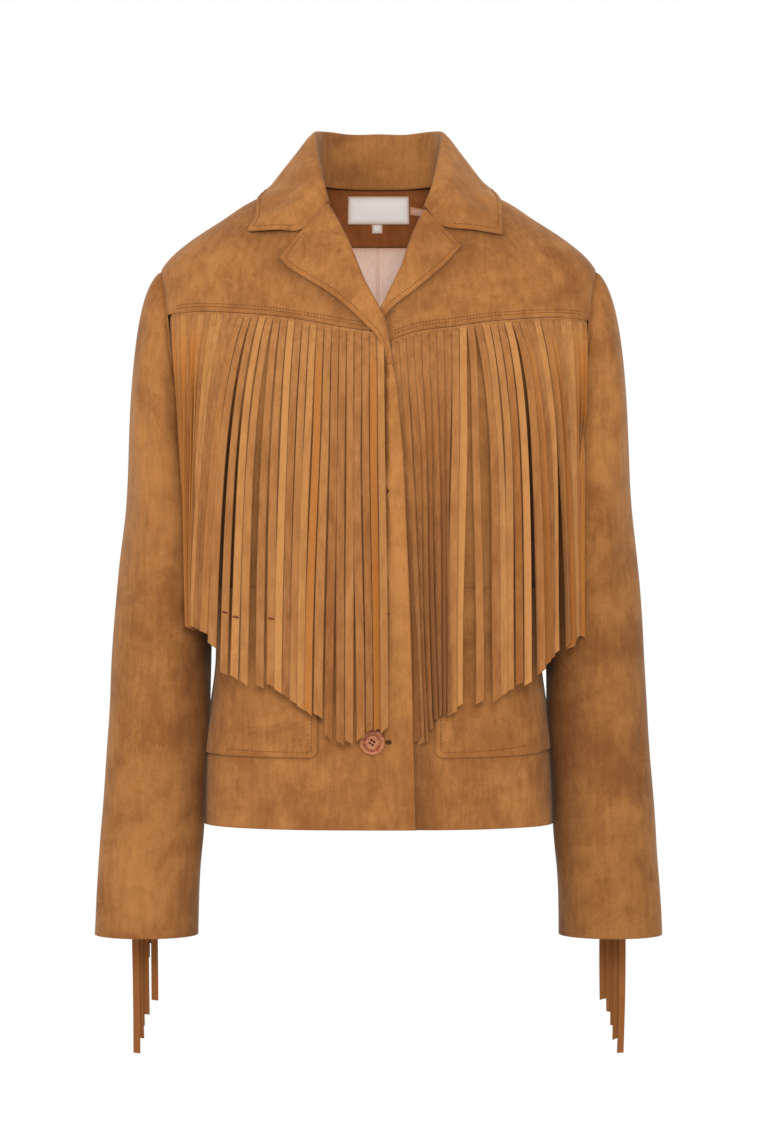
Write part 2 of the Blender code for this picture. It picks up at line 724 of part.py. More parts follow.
def lapel_sheet(side, wall_out=0.0):
    """Surface of a lapel: inner turn, roll and outer leaf. wall_out moves it to
    the leaf's outer (1) or inner (-1) face."""
    rows = []
    for v in np.linspace(0, 1, LAPEL_ROWS):
        roll = np.array([float(column(LAPEL_ROLL[side], n, v)) for n in ("x", "z")])
        edge = np.array([float(column(LAPEL_EDGE[side], n, v)) for n in ("x", "z")])
        top, bottom = LAPEL_INSIDE[side]
        inside = top + (bottom - top) * v
        across = edge - roll
        length = np.linalg.norm(across)
        across = across / length
        half = WALL / 2 * wall_out
        radius = ROLL_RADIUS + half
        spots = [(inside, -WALL / 2 - radius), (inside * 0.3, -WALL / 2 - radius)]
        for angle in (-60, -20, 20, 60):
            turn = math.radians(angle)
            spots.append((-radius * math.cos(turn) + 0.3, -WALL / 2 + radius * math.sin(turn)))
        leaf = (0.08, 0.3, 0.55, 0.8, 1.0)
        spots += [(max(share * length, 0.6 + share), -WALL / 2 + radius) for share in leaf]
        line = []
        for along, out in spots:
            x, z = roll + across * along
            line.append(front_surface(side, phi_front(x, z), z, np.asarray(out)))
        rows.append(line)
    return np.array(rows)


def lapel(side, suede):
    outer, inner = lapel_sheet(side, 1.0), lapel_sheet(side, -1.0)
    name = "lapel_left" if side > 0 else "lapel_right"
    wall(name, outer, inner, grid_faces(*outer.shape[:2]), suede)


def pocket(side, suede):
    """Patch pocket made from the front's own points moved out."""
    grid = front_grid(side)
    first = 4 if side < 0 else 5
    rows = [i for i, line in enumerate(grid) if POCKET_BOTTOM_Z - 1 < line[-1, 1] < POCKET_TOP_Z + 1]
    patch = grid[rows, first:-1]
    corner = (float(phi_front(POCKET_INNER_X[side] + 2.5, POCKET_BOTTOM_Z)), POCKET_BOTTOM_Z + 2.5)
    patch[-1, 0] = corner
    phi, z = patch[..., 0], patch[..., 1]
    outer = front_surface(side, phi, z, np.full(phi.shape, GAP + WALL))
    inner = front_surface(side, phi, z, np.full(phi.shape, GAP))
    name = "pocket_left" if side > 0 else "pocket_right"
    wall(name, outer, inner, grid_faces(*phi.shape), suede)


def hang_front_y(x, z):
    """Foremost y of the body and the sleeve at a place seen from the front."""
    x, z = np.broadcast_arrays(np.asarray(x, float), np.asarray(z, float))
    width = column(TORSO, "half_width", z)
    body = np.where(np.abs(x) < width, torso_point(phi_front(x, z), z)[..., 1], 50.0)
    inner_x, outer_x, front_y, back_y = [column(SLEEVE, name, z) for name in SLEEVE[0][1:]]
    ratio = (x - (inner_x + outer_x) / 2) / ((outer_x - inner_x) / 2)
    arc = np.sqrt(np.maximum(0, 1 - ratio**2))
    arm = (front_y + back_y) / 2 - (back_y - front_y) / 2 * arc
    arm = np.where((np.abs(ratio) < 1) & (z < -150), arm, 50.0)
    return np.minimum(body, arm)


def chest_roots(side):
    """Distances from the middle of the strand roots, even along the seam."""
    first, last = CHEST_FRINGE_X[side]
    x = np.linspace(first, last, 200)
    z = column(YOKE_SEAM[side], "z", x)
    points = torso_point(phi_front(x, z), z)
    run = np.concatenate([[0], np.cumsum(np.linalg.norm(np.diff(points, axis=0), axis=1))])
    count = CHEST_STRANDS[side]
    pitch = run[-1] / count
    centres = np.interp((np.arange(count) + 0.5) * pitch, run, x)
    return centres, pitch


def chest_paths(side):
    """Centre lines of the chest strands, strand by station, on side 1."""
    roots, pitch = chest_roots(side)
    tips_x = roots + column(CHEST_LEAN[side], "lean", roots)
    root_z = column(YOKE_SEAM[side], "z", roots) - HALF_GAP - CHEST_STRIP_HEIGHT
    tip_z = column(CHEST_TIPS[side], "z", tips_x)
    fine = np.linspace(0, 1, 121)
    paths = []
    reaches = column(CHEST_REACH[side], "reach", roots)
    for x0, x1, z0, z1, reach in zip(roots, tips_x, root_z, tip_z, reaches):
        z = z0 + (z1 - z0) * fine
        x = x0 + (x1 - x0) * (1 - np.exp((z - z0) / reach)) / (1 - np.exp((z1 - z0) / reach))
        clear = STRAND_REST + (STRAND_HANG - STRAND_REST) * smooth(*STRAND_EASE, z0 - z)
        y = np.minimum.accumulate(hang_front_y(x, z) - clear)
        paths.append([[np.interp(s, fine, c) for c in (x, y, z)] for s in CHEST_STATIONS])
    return np.array(paths), pitch


def chest_fringe(side, suede):
    """Backing strip under the yoke seam with its strands hanging from it."""
    paths, pitch = chest_paths(side)
    width = pitch * CHEST_STRAND_SHARE
    count, stations, _ = paths.shape
    roots = paths[:, 0]
    root_phi = phi_front(roots[:, 0], roots[:, 2])
    drop = FRINGE_DIP - STRIP_CLEARANCE - STRAND_WALL / 2
    tangent = np.gradient(paths, axis=0)
    tangent[1:, :, :] = paths[1:] - paths[:-1]
    tangent[0] = tangent[1]
    tangent[:, 1:, 2] = 0
    local_pitch = np.linalg.norm(tangent, axis=-1)
    across = unit(tangent)
    face = unit(np.cross(across, np.broadcast_to([0.0, 0.0, 1.0], across.shape)))
    face = face * -np.sign(face[..., 1:2])
    crowd = np.arcsin(np.clip((STRAND_WALL + 0.75) / local_pitch, 0, 0.9))
    twist = np.where(local_pitch < width + 0.35, crowd, 0.0) * np.array([0.0, 0.0, 0.7, 1.0, 1.0])
    for _ in range(2):
        twist[1:-1] = (twist[:-2] + 2 * twist[1:-1] + twist[2:]) / 4
    cos, sin = np.cos(twist)[..., None], np.sin(twist)[..., None]
    broad = across * cos + face * sin
    thick = face * cos - across * sin
    outer, inner, faces = [], [], []

    def put(point, normal):
        outer.append(point + normal * STRAND_WALL / 2)
        inner.append(point - normal * STRAND_WALL / 2)
        return len(outer) - 1

    strip = []
    for k in range(count):
        root = torso_point(root_phi[k], roots[k, 2])
        normal = torso_normal(root_phi[k], roots[k, 2])
        base = root - normal * (drop + float(body_drop(side, root[0], root[2])))
        for end in (-0.5, 0.5):
            low = base + broad[k, 0] * width * end
            high = low + np.array([0, 0, CHEST_STRIP_HEIGHT - GAP]) - normal * 0.1
            strip.append((put(high, normal), put(low, normal)))
        ring = strip[-2][1], strip[-1][1]
        for s in range(1, stations):
            centre = paths[k, s]
            cut = SLANT / 2 if s == stations - 1 else 0.0
            sides = []
            for end in (-0.5, 0.5):
                point = centre + broad[k, s] * width * end
                point = point + np.array([0, 0, cut * (1 if end > 0 else -1)])
                sides.append(put(point, thick[k, s]))
            faces.append((ring[0], ring[1], sides[1], sides[0]))
            ring = tuple(sides)
    for (a, b), (c, d) in zip(strip[:-1], strip[1:]):
        faces.append((a, c, d, b))
    name = "chest_fringe_left" if side > 0 else "chest_fringe_right"
    wall(name, mirrored(outer, side), mirrored(inner, side), faces, suede)


def sleeve_fringe(side, suede):
    """Strip on the sleeve's back seam, with strands leaving its outer face."""
    rings = sleeve_rings(side)[1:, -SLEEVE_SEAM_STEP]
    order = np.argsort(rings[:, 2])
    top, bottom = SLEEVE_STRIP_Z
    levels = np.linspace(top - 4, bottom + 2, SLEEVE_STRANDS)
    half = STRAND_WALL / 2
    heights = [top] + [level + d for level in levels for d in (half, -half)] + [bottom]
    seam_x, seam_y = [np.interp(heights, rings[order, 2], rings[order, c]) for c in (0, 1)]
    points, faces = [], []
    reach = SLEEVE_STRAND_WIDTH / 2
    for x, y, z in zip(seam_x, seam_y, heights):
        near, far = y + SLEEVE_STRIP_CLEARANCE, y + SLEEVE_STRIP_CLEARANCE + STRAND_WALL
        points += [(x - reach, near, z), (x + reach, near, z), (x + reach, far, z), (x - reach, far, z)]
    for row in range(len(heights) - 1):
        a, b = row * 4, row * 4 + 4
        faces += [(a, a + 1, b + 1, b), (a + 1, a + 2, b + 2, b + 1), (a + 3, a, b, b + 3)]
        if row % 2 == 0:
            faces.append((a + 2, a + 3, b + 3, b + 2))
    last = len(points) - 4
    faces += [(3, 2, 1, 0), (last, last + 1, last + 2, last + 3)]
    for k in range(SLEEVE_STRANDS):
        upper, lower = 4 * (1 + 2 * k), 4 * (2 + 2 * k)
        ring = (upper + 2, upper + 3, lower + 3, lower + 2)
        x, y, z = seam_x[1 + 2 * k], seam_y[1 + 2 * k] + SLEEVE_STRIP_CLEARANCE + STRAND_WALL, levels[k]
        shift = SLEEVE_STRAND_SHIFT[(SLEEVE_STRANDS - 1 - k) % len(SLEEVE_STRAND_SHIFT)]
        for share in SLEEVE_STATIONS[1:]:
            fall = share * SLEEVE_STRAND_LENGTH
            out = SLEEVE_FRINGE_PUSH * (1 - math.exp(-fall / 6)) + SLEEVE_FRINGE_FAN * fall
            turn = math.radians(80) * (1 - math.exp(-fall / 5))
            inward = shift * float(smooth(4, 30, fall))
            centre = np.array([x - inward, y + out, z - fall * (1 - 0.3 * math.exp(-fall / 5))])
            up_side = np.array([0, math.sin(turn), math.cos(turn)]) * half
            first = len(points)
            for dx, sign in ((reach, 1), (-reach, 1), (-reach, -1), (reach, -1)):
                points.append(centre + np.array([dx, 0, 0]) + up_side * sign)
            new = (first, first + 1, first + 2, first + 3)
            faces += [(ring[i], ring[(i + 1) % 4], new[(i + 1) % 4], new[i]) for i in range(4)]
            ring = new
        faces.append(ring)
    name = "sleeve_fringe_left" if side > 0 else "sleeve_fringe_right"
    solid(name, mirrored(points, side), faces, suede)


def button(number, z, coral, guides):
    """Four-hole button lying flat on the right front."""
    phi = phi_front(-BUTTON_X, z)
    normal = Vector(mirrored(torso_normal(phi, z), -1))
    turn = normal.to_track_quat("Z", "Y").to_matrix()
    lift = BUTTON_CLEARANCE + BUTTON_WALL / 2
    centre = Vector(mirrored(torso_point(phi, z), -1)) + normal * lift
    made = drum(f"button_{number}", BUTTON_RADIUS, BUTTON_WALL, 20, centre, turn, "fringed_jacket")
    made.data.materials.append(coral)
    edge = made.modifiers.new("edge", "BEVEL")
    edge.width = 0.8 * MM
    edge.segments = 1
    edge.limit_method = "ANGLE"
    for i in range(4):
        angle = math.pi / 4 + i * math.pi / 2
        spread = Vector((math.cos(angle), math.sin(angle), 0)) * BUTTON_HOLE_SPREAD
        spot = centre + turn @ spread
        drill = drum(f"drill_{number}_{i}", BUTTON_HOLE_RADIUS, 3 * BUTTON_WALL, 6, spot, turn, guides)
        drill.hide_render = True
        drill.display_type = "WIRE"
        cut = made.modifiers.new(f"hole_{i}", "BOOLEAN")
        cut.operation = "DIFFERENCE"
        cut.object = drill


def drum(name, radius, height, sides, centre, turn, collection):
    """Cylinder with its axis along the turned Z."""
    bpy.ops.mesh.primitive_cylinder_add(vertices=sides, radius=radius * MM, depth=height * MM)
    made = bpy.context.object
    made.name = made.data.name = name
    made.matrix_world = Matrix.Translation(centre * MM) @ turn.to_4x4()
    home(made, collection)
    return made


def home(made, collection):
    for old in list(made.users_collection):
        old.objects.unlink(made)
    bpy.data.collections[collection].objects.link(made)


def main():
    for old in list(bpy.data.objects):
        bpy.data.objects.remove(old, do_unlink=True)
    for name in ("fringed_jacket", "drills"):
        made = bpy.data.collections.new(name)
        bpy.context.scene.collection.children.link(made)
    for side, word in ((-1, "right"), (1, "left")):
        front(side, material(f"front_{word}_suede", SUEDE, 0.95))
        yoke(side, material(f"yoke_{word}_suede", SUEDE, 0.95))
        sleeve(side, material(f"sleeve_{word}_suede", SUEDE, 0.95))
        lapel(side, material(f"lapel_{word}_suede", SUEDE, 0.95))
        pocket(side, material(f"pocket_{word}_suede", SUEDE, 0.95))
        chest_fringe(side, material(f"chest_fringe_{word}_suede", FRINGE_TAN, 0.95))
        sleeve_fringe(side, material(f"sleeve_fringe_{word}_suede", FRINGE_TAN, 0.95))
    back(material("back_suede", SUEDE, 0.95))
    collar(material("collar_suede", SUEDE, 0.95))
    lining_satin = material("lining_satin", LINING_PINK, 0.4)
    inner_back(material("neck_facing_suede", FACING_BROWN, 0.95), lining_satin)
    looks = {"label": LABEL_WHITE, "label_tab": LABEL_WHITE, "hang_loop": LINING_PINK}
    trim({name: material(name + "_weave", colour, 0.6) for name, colour in looks.items()})
    for number, z in enumerate(BUTTON_Z, 1):
        button(number, z, material(f"button_{number}_coral", BUTTON_CORAL, 0.35), "drills")


main()
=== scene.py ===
"""Short western jacket in tan suede, filled out as if worn.

Every piece is a surface worked out on a grid of two parameters, in millimetres,
and then closed into a thin wall. Left and right are the wearer's; the front faces
-Y and the origin lies inside the base of the neck."""

import math

import bpy
import numpy as np
from bpy.props import FloatProperty, FloatVectorProperty, PointerProperty
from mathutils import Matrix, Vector


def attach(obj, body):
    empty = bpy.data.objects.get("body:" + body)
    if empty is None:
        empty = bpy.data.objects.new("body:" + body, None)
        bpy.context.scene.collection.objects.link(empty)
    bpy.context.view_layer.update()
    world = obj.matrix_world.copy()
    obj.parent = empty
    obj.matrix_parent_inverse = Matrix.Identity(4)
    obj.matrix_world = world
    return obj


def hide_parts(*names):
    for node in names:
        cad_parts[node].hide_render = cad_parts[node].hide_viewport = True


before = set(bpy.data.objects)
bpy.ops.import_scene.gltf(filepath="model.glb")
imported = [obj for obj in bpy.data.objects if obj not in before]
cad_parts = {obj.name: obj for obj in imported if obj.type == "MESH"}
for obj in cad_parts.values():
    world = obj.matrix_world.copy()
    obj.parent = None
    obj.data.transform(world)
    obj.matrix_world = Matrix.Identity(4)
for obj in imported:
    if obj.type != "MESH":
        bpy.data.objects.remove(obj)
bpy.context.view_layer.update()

bl_info = {
    "name": "Fringed Suede Jacket",
    "version": (1, 0, 0),
    "blender": (4, 5, 0),
    "location": "View3D > Sidebar > Jacket",
    "description": "Builds a short fringed jacket in suede, piece by piece",
    "category": "Add Mesh",
}

MM = 0.001
RIGHT, LEFT = -1, 1
WORD = {RIGHT: "right", LEFT: "left"}
GAP = 0.3
HALF_GAP = GAP / 2

NECK_Z = 20.0
YOKE_TOP_Z = 17.0
SHOULDER_TIP_Z = -69.0
ARMPIT_Z = -236.0
ARMHOLE_HALF = (SHOULDER_TIP_Z - ARMPIT_Z) / 2
HEM_Z = -581.0


def both(names, right, left):
    """A table with the same columns for each side."""
    return {RIGHT: (names, right), LEFT: (names, left)}


# Level sections of the body: half width at the side seam, depths in front of and
# behind the origin, where the side seam lies, and how square the section is.
TORSO = (
    ("z", "half_width", "front", "back", "seam_y", "power"),
    (
        (30, 44, 30, 72, 14, 2), (20, 66, 42, 76, 14, 2), (8, 92, 50, 81, 12, 2),
        (-4, 118, 58, 86, 10, 2.05), (-22, 145.5, 68, 93, 8, 2.1), (-41, 174, 78, 98, 6, 2.15),
        (-55, 191, 85, 101, 5, 2.2), (-69, 202, 90, 103, 4, 2.25), (-90, 205, 97, 106, 3, 2.3),
        (-115, 206, 104, 108, 2, 2.35), (-154, 203, 113, 110, 0, 2.4), (-180, 195, 118, 110, 0, 2.4),
        (-205, 182, 121, 109, 0, 2.4), (-225, 168, 122, 108, 0, 2.4), (-240, 160, 122, 107, 0, 2.4),
        (-283, 155.5, 120, 102, 0, 2.4), (-338, 151.5, 115, 95, 0, 2.4), (-394, 149, 111, 90, 0, 2.4),
        (-431, 148.5, 110, 91, 0, 2.4), (-469, 153.3, 110, 96, 0, 2.4), (-515, 160.5, 110, 103, 0, 2.4),
        (-550, 162.6, 109, 107, 0, 2.4), (-581, 163.3, 108, 109, 0, 2.4),
    ),
)

# Level sections of a hanging sleeve.
SLEEVE = (
    ("z", "inner_x", "outer_x", "front_y", "back_y"),
    (
        (-180, 172, 227, -60, 64), (-240, 162.5, 231, -64, 66), (-300, 157.5, 235.5, -64, 62),
        (-360, 155, 241, -62, 56), (-427, 155, 245.5, -60, 47), (-470, 156.5, 248.5, -60, 42),
        (-515, 160.9, 251.5, -60, 38), (-582, 163.7, 256, -62, 32), (-640, 165.8, 259.5, -63, 27),
        (-690, 166.5, 262.5, -64, 23),
    ),
)
SLEEVE_TOP_Z = -300.0
CUFF_Z = -683.5
ARM_RADIUS = 50.0  # for distances round a sleeve, which start at its outer side
SLEEVE_FRONT_DEEPER = 0.35  # how much deeper the folds of its front are
# Painted shade on a sleeve's lower half, and where it is deepest and how wide on the side by the body.
SLEEVE_SHADE = {RIGHT: 0.14, LEFT: 0.30}
INNER_AROUND = 142.0
INNER_WIDTH = 27.0
# Armholes: half widths in radians round the body and how square they are.
ARMHOLE_SPREAD_FRONT = 0.40
ARMHOLE_SPREAD_BACK = 0.36
ARMHOLE_SQUARE = 0.84

# Yoke seams, by distance from the middle on each side.
SEAM_END_X = 191.0
YOKE_SEAM = both(
    ("x", "z"),
    (
        (-12, -136), (6, -133.5), (34, -129), (60, -124), (94, -118.5), (129, -115), (165, -112.5),
        (191, -113.5),
    ),
    (
        (-16, -150), (9, -141.7), (34, -133.4), (66, -128.7), (98, -123.7), (131, -120.5), (164, -118),
        (192, -119),
    ),
)
# Roll lines of the lapels, which are the inner edges of the yokes.
ROLL_LINE = both(
    ("z", "x"),
    (
        (17, 63.5), (8, 59.5), (-12, 50), (-41, 34.4), (-63.6, 24.4), (-90.6, 13.5), (-114.5, 0.9),
        (-128, -4.5), (-139, -6.3), (-155, -9.3),
    ),
    (
        (17, 63.5), (8, 59), (-19, 45.2), (-52.3, 30.7), (-82.7, 19.4), (-106, 7.5), (-117.3, 3.8),
        (-128, 7.5), (-142, 9.5),
    ),
)
# Front edges, by height, as distance past the middle towards the other side.
FRONT_EDGE = both(
    ("z", "x"),
    (
        (-133, -5.5), (-139, -6.3), (-152.6, -9.8), (-176, -15.2), (-209, -18.7), (-241, -21.4),
        (-296, -24.1), (-410, -28.7), (-536, -32.3), (-581, -33.3),
    ),
    ((-148, -14), (-175, -30), (-300, -30), (-581, -30)),
)
ROLL_CLEAR = 1.2  # from a roll line to its yoke
# The left front drops under the right one's edge: how far past the edge it starts
# to rise again and over what distance, how deep it is, and where that begins.
LAP_STEP = 3.0
LAP_EASE = 13.0
LAP_DEPTH = 2.7
LAP_TOP_Z = (-142.0, -130.0)
LAP_MEETS_ROLL_Z = -139.0
# Band along the right front's edge: its inner side, and the levels between which
# it rises and sinks.
BAND_X = (-9.5, -4.5)
BAND_TOP_Z = (-140.0, -168.0)
BAND_END_Z = (-400.0, -520.0)
BAND_HEIGHT = 6.8
BAND_PAINTED_LIGHT = 0.4  # painted light on the band, fading out between two levels
BAND_PAINTED_LIGHT_Z = (-560.0, -420.0)
# Painted shade under the chest fringe: how fast it starts, and where it is full at the outer side; and
# painted shade along the lap below the strands.
SHADE_FADE = 16.0
SHADE_OUTER_X = (112.0, 136.0)
LAP_SHADE = 0.5
LAP_SHADE_REACH = (6.0, 30.0)
LAP_SHADE_Z = (-440.0, -480.0)
TUCK_DEPTH = 5.4  # of the left yoke and lapel under the right lapel's roll
FRINGE_DIP = 2.7  # of a front under the edge of its yoke, and its height
FRINGE_DIP_HEIGHT = 24.0

LAPEL_ROLL = both(
    ("v", "x", "z"),
    (
        (0, 48.3, -15), (0.2, 34.4, -41), (0.4, 24.4, -63.6), (0.6, 13.5, -90.6), (0.78, 0.9, -114.5),
        (0.88, -4.5, -128), (0.95, -7.2, -145), (1, -11, -165),
    ),
    ((0, 43.8, -21.5), (0.3, 32.6, -46), (0.6, 22, -76), (0.88, 8.2, -105.5), (1, 1, -120)),
)
LAPEL_EDGE = both(
    ("v", "x", "z"),
    (
        (0, 89.4, -65), (0.06, 84.5, -71.5), (0.2, 68, -83.5), (0.4, 47, -96.8), (0.6, 28, -111.8),
        (0.78, 10.5, -129), (0.88, 2, -138.2), (0.95, -2.2, -148.5), (1, -9, -165),
    ),
    ((0, 75, -55), (0.3, 56, -75.8), (0.6, 33.5, -95.3), (0.88, 13.2, -111.5), (1, 2.6, -122)),
)
ROLL_RADIUS = 3.0
LAPEL_SINKS = 2.4  # into the front edge, at the right lapel's lower end
# Painted shadow on the yokes under the lapels and the collar's lower edge: its strength, its reach, and
# the ends of that edge.
LAPEL_SHADE = {RIGHT: 0.55, LEFT: 0.42}
LAPEL_SHADE_REACH = 11.0
COLLAR_SHADE = {"x": (60.0, 108.0), "z": (-27.0, -38.0)}  # ends of the collar's lower edge
LAPEL_INSIDE = {RIGHT: (14.0, 2.5), LEFT: (14.0, 9.0)}  # inner turn, top and bottom

# Collar sections on one side, from the gorge to the middle of the back. Each has
# the seam, the two sides of the fold, two points of the fall and its outer edge.
COLLAR_END = {
    RIGHT: (
        (45, -57.5, -14.5), (46, -60.8, -12.2), (50, -63.2, -16), (69.2, -73.2, -38),
        (92.5, -70.5, -38.3), (120, -61.5, -38.5),
    ),
    LEFT: (
        (41.5, -61, -18.5), (42.5, -63.8, -16.4), (46.2, -66.4, -21.8), (57.6, -73.4, -35),
        (86.3, -71.5, -38.3), (113.2, -65.5, -42),
    ),
}
COLLAR = (
    ((50, -47, -2), (50, -48, 5), (54, -52, 7), (70, -61, -9), (91, -60, -21), (113, -49, -25)),
    ((55, -33, 8), (54, -30, 24), (58.5, -33, 27), (74, -37, 10), (93, -34, -5), (111, -25, -10)),
    ((59.5, -12, 14.5), (57.5, -8, 42), (62, -10, 44), (76, -12, 27), (93, -11, 9), (109, -8, 0)),
    ((61, 13.5, 15), (59, 15, 56), (63.6, 16, 57.5), (77, 16, 40), (92, 16, 20), (107, 16, 4)),
    ((51.5, 47, 14.3), (48.5, 54, 62), (52.5, 58, 63), (61, 61, 44.5), (71, 63, 25), (82, 63, 5)),
    ((27, 66, 14), (25, 75, 62), (27, 80, 63), (31, 83, 44), (36, 85, 25.5), (43, 86, 4)),
    ((0, 71.3, 14), (0, 80, 63), (0, 85, 64), (0, 88, 44.5), (0, 90, 25.5), (0, 92, 3)),
)
COLLAR_CLEARANCE = 2.4
COLLAR_SHADE_TO_LIGHT_X = (42.0, 66.0)  # where painted shade at the back of the neck turns to painted light on its leaves

# Chest fringes: how far from the middle each strand's tip ends up, the drop at
# which most of its leaning is taken, and the line that the tips are cut to.
CHEST_STRANDS = {RIGHT: 31, LEFT: 28}
CHEST_FRINGE_X = {RIGHT: (-5.0, 189.5), LEFT: (11.5, 190.5)}
CHEST_TIP_X = both(
    ("strand", "x"),
    (
        (0, -4.8), (1, 1.4), (2, 8.8), (3, 16.8), (4, 26), (5, 35), (6, 44.5), (7, 53.6), (8, 62.2),
        (9, 69.4), (10, 76), (11, 82.4), (12, 89.5), (13, 96.7), (14, 106), (15, 120.8), (16, 129.3),
        (17, 138.8), (18, 149.6), (19, 157), (20, 160.6), (21, 162.4), (22, 164.2), (25, 167.6),
        (30, 173.5),
    ),
    (
        (0, 34), (1, 38.5), (2, 43), (3, 47), (4, 51), (5, 54.6), (6, 57.7), (7, 61), (8, 66.5),
        (9, 72.3), (10, 89.5), (11, 106), (12, 111.9), (13, 118.8), (14, 126.4), (15, 134.6), (16, 145.9),
        (17, 151.4), (18, 155.8), (19, 160.6), (20, 171), (21, 173), (23, 177), (27, 183.5),
    ),
)
CHEST_REACH = both(
    ("strand", "reach"),
    ((0, 900), (5, 900), (8, 350), (11, 160), (14, 120), (18, 110), (30, 150)),
    ((0, 900), (7, 700), (9, 600), (10, 90), (12, 75), (16, 70), (19, 80), (27, 200)),
)
CHEST_TIPS = both(
    ("x", "z"),
    (
        (-7, -490), (4.5, -488), (16, -498), (27, -503), (46.5, -492), (54, -477), (66, -472), (76, -466),
        (84, -458.5), (92, -453), (120, -448.5), (129, -443), (141, -438.5), (149, -416), (157, -403),
        (169, -398.5),
    ),
    (
        (35, -500.5), (42, -502), (49, -483.5), (66, -475.5), (73, -470), (89.5, -465.5), (106, -463),
        (115, -458), (123.5, -451), (135, -448.5), (146, -438), (154, -429), (164, -418), (175, -413.5),
        (181, -406.5),
    ),
)
STRIP_CLEARANCE = 1.05
CHEST_STRIP_HEIGHT = 5.0
# How far strands hang off the body: at the strip, below it, and close to the lap
# on the left side; and the drops between which they ease away.
STRAND_REST = 0.9
STRAND_HANG = 7.4
STRAND_HANG_AT_LAP = 2.2
LAP_CLEARS = 44.0
STRAND_EASE = (2.0, 20.0)
SLAT_DEPTH = 1.75  # how far each strand's edge passes its neighbour where they crowd

SLEEVE_SEAM_SHARE = 0.8  # of the turn round a sleeve
SLEEVE_STRANDS = 34
SLEEVE_STRAND_LENGTH = 129.0
SLEEVE_STRAND_WIDTH = 6.6
SLEEVE_STRIP_Z = (-246.0, -679.5)
SLEEVE_STRIP_CLEARANCE = 1.3
SLEEVE_FRINGE_PUSH = 9.0  # off the seam at once, and then for each unit of fall
SLEEVE_FRINGE_FAN = 0.2
SLEEVE_STRAND_SHIFT = (0.0, 3.0, 4.0, 7.5, 13.5)  # inward, from the lowest up, repeating

POCKET_INNER_X = {RIGHT: 54.3, LEFT: 50.3}
POCKET_OUTER_X = 135.0  # at the flank
POCKET_TOP_Z = -363.0
POCKET_BOTTOM_Z = -516.0
POCKET_CORNER = 7.5
POCKET_RISE = {RIGHT: 1.5, LEFT: 6.5}  # of the bottom at its outer end
FACING_BOTTOM_Z = -37.0
LINING_BOTTOM_Z = -560.0
INNER_DEPTH = 2.4  # of the facing and lining under the back's outer face
INNER_SHARE = 0.75  # how much of the back's width they take up
# Buttons and their buttonholes, which run from HOLE_START_X to a round eye.
BUTTON_X = -5.8
BUTTON_Z = (-173.6, -276.4, -386.2, -501.6)
BUTTON_TURN = math.radians(-30)
BUTTON_SIDES = 72
BUTTON_HEIGHT = 2.4  # of its well, over the cloth
BUTTON_RINGS = (0.76, 0.84, 0.92)  # pale rings, as shares of its radius
HOLE_OUT = 2.1  # of the four holes from the middle, their edge and depth
HOLE_EDGE = (0.75, 1.1)
HOLE_DEPTH = 2.2
HOLE_START_X = -4.0
BUTTONHOLE_EYE_X = (5.0, 7.0, 7.0, 9.4)
EYE_RADIUS = 1.9
CORD_RADIUS = 0.55
# Rows of stitches: inside the edges they follow, or above the yoke seams.
STITCHED_IN = 4.7
POCKET_STITCHED_IN = 5.1
YOKE_STITCHES_X = {RIGHT: (7.0, 187.5), LEFT: (13.0, 187.5)}
YOKE_STITCHES_UP = (4.6, 7.4)
# Woven label, its tab and the ribbon stub, by distance from the middle, with how
# far they lie inside the back's face and how long they are cut.
TRIM = (
    ("name", "from_x", "to_x", "from_top", "to_top", "height", "under", "cut", "look", "slot"),
    (
        ("label", -30.0, 30.0, 10.5, 10.5, 26.0, 3.9, 28.0, "label", "label_weave"),
        ("label_tab", -6.5, 4.0, -13.9, -13.9, 10.4, 3.38, 11.0, "label", "label_weave"),
        ("hang_loop", 30.7, 46.0, 0.8, -1.6, 7.6, 3.5, 10.0, "ribbon", "ribbon"),
    ),
)
# Reddish pen strokes on strands of the right side.
PEN_MARKS = (
    ("x", "z", "length", "tilt"),
    ((141.4, -385.3, 6.3, 1.6), (128.8, -389.3, 6, 1.2), (95.3, -390.7, 6.3, 0.8)),
)

# Suedes: title, strength of the clouds, and whether strands take a tone each.
SUEDES = {
    "suede": ("Tan suede", 0.72, False),
    "fringe": ("Fringe suede", 0.2, True),
    "facing": ("Brown facing suede", 0.8, False),
}
TONE_REACH = 0.42
EDGE_BROWN = (0.37, 0.14, 0.046, 1)
# Colour of painted shade, in the buttons' holes and well.
DEEP_BROWN = (0.03, 0.012, 0.006, 1)
DULL = {"Specular IOR Level": 0.05}
# Plain finishes: title, both colours, the mottle's scale in features a metre, its
# stretch and spread, the bump's strength and distance, the roughness where it is
# even, and what else is set on the shader.
PLAIN_FINISHES = {
    "lining": (
        "Pink satin", "lining", "lining_shade", 900, (1, 1, 0.2), 0.3, (0.25, 0.0002), None,
        {"Sheen Weight": 0.2, "Coat Weight": 0.12, "Coat Roughness": 0.3},
    ),
    "label": ("Woven label", "label", "label_shade", 1400, (1, 1, 6), 0.25, (0.5, 0.0003), 0.85, {}),
    "ribbon": ("Pink ribbon", "ribbon", "lining_shade", 1100, (0.2, 1, 1), 0.3, (0.4, 0.0003), 0.85, {}),
    "button": (
        "Marbled resin", "button_light", "button_dark", 300, (1, 1, 1.4), 0.08, (0.3, 0.0003), None,
        {"Coat Weight": 0.12, "Coat Roughness": 0.15, "Specular IOR Level": 0.3},
    ),
    "thread": (
        "Brown thread", "thread", "thread_shade", 2500, (1, 1, 1), 0.3, (0.4, 0.0002), 0.85,
        {"Specular IOR Level": 0.15},
    ),
    # The slits are painted shade inside the buttonholes.
    "slit": ("Dark slit", "slit", "slit", 900, (1, 1, 1), 0.3, (0.2, 0.0002), 0.85, DULL),
    "ink": ("Red pen", "ink", "ink_shade", 700, (1, 1, 1), 0.2, (0.2, 0.0002), 0.85, DULL),
}

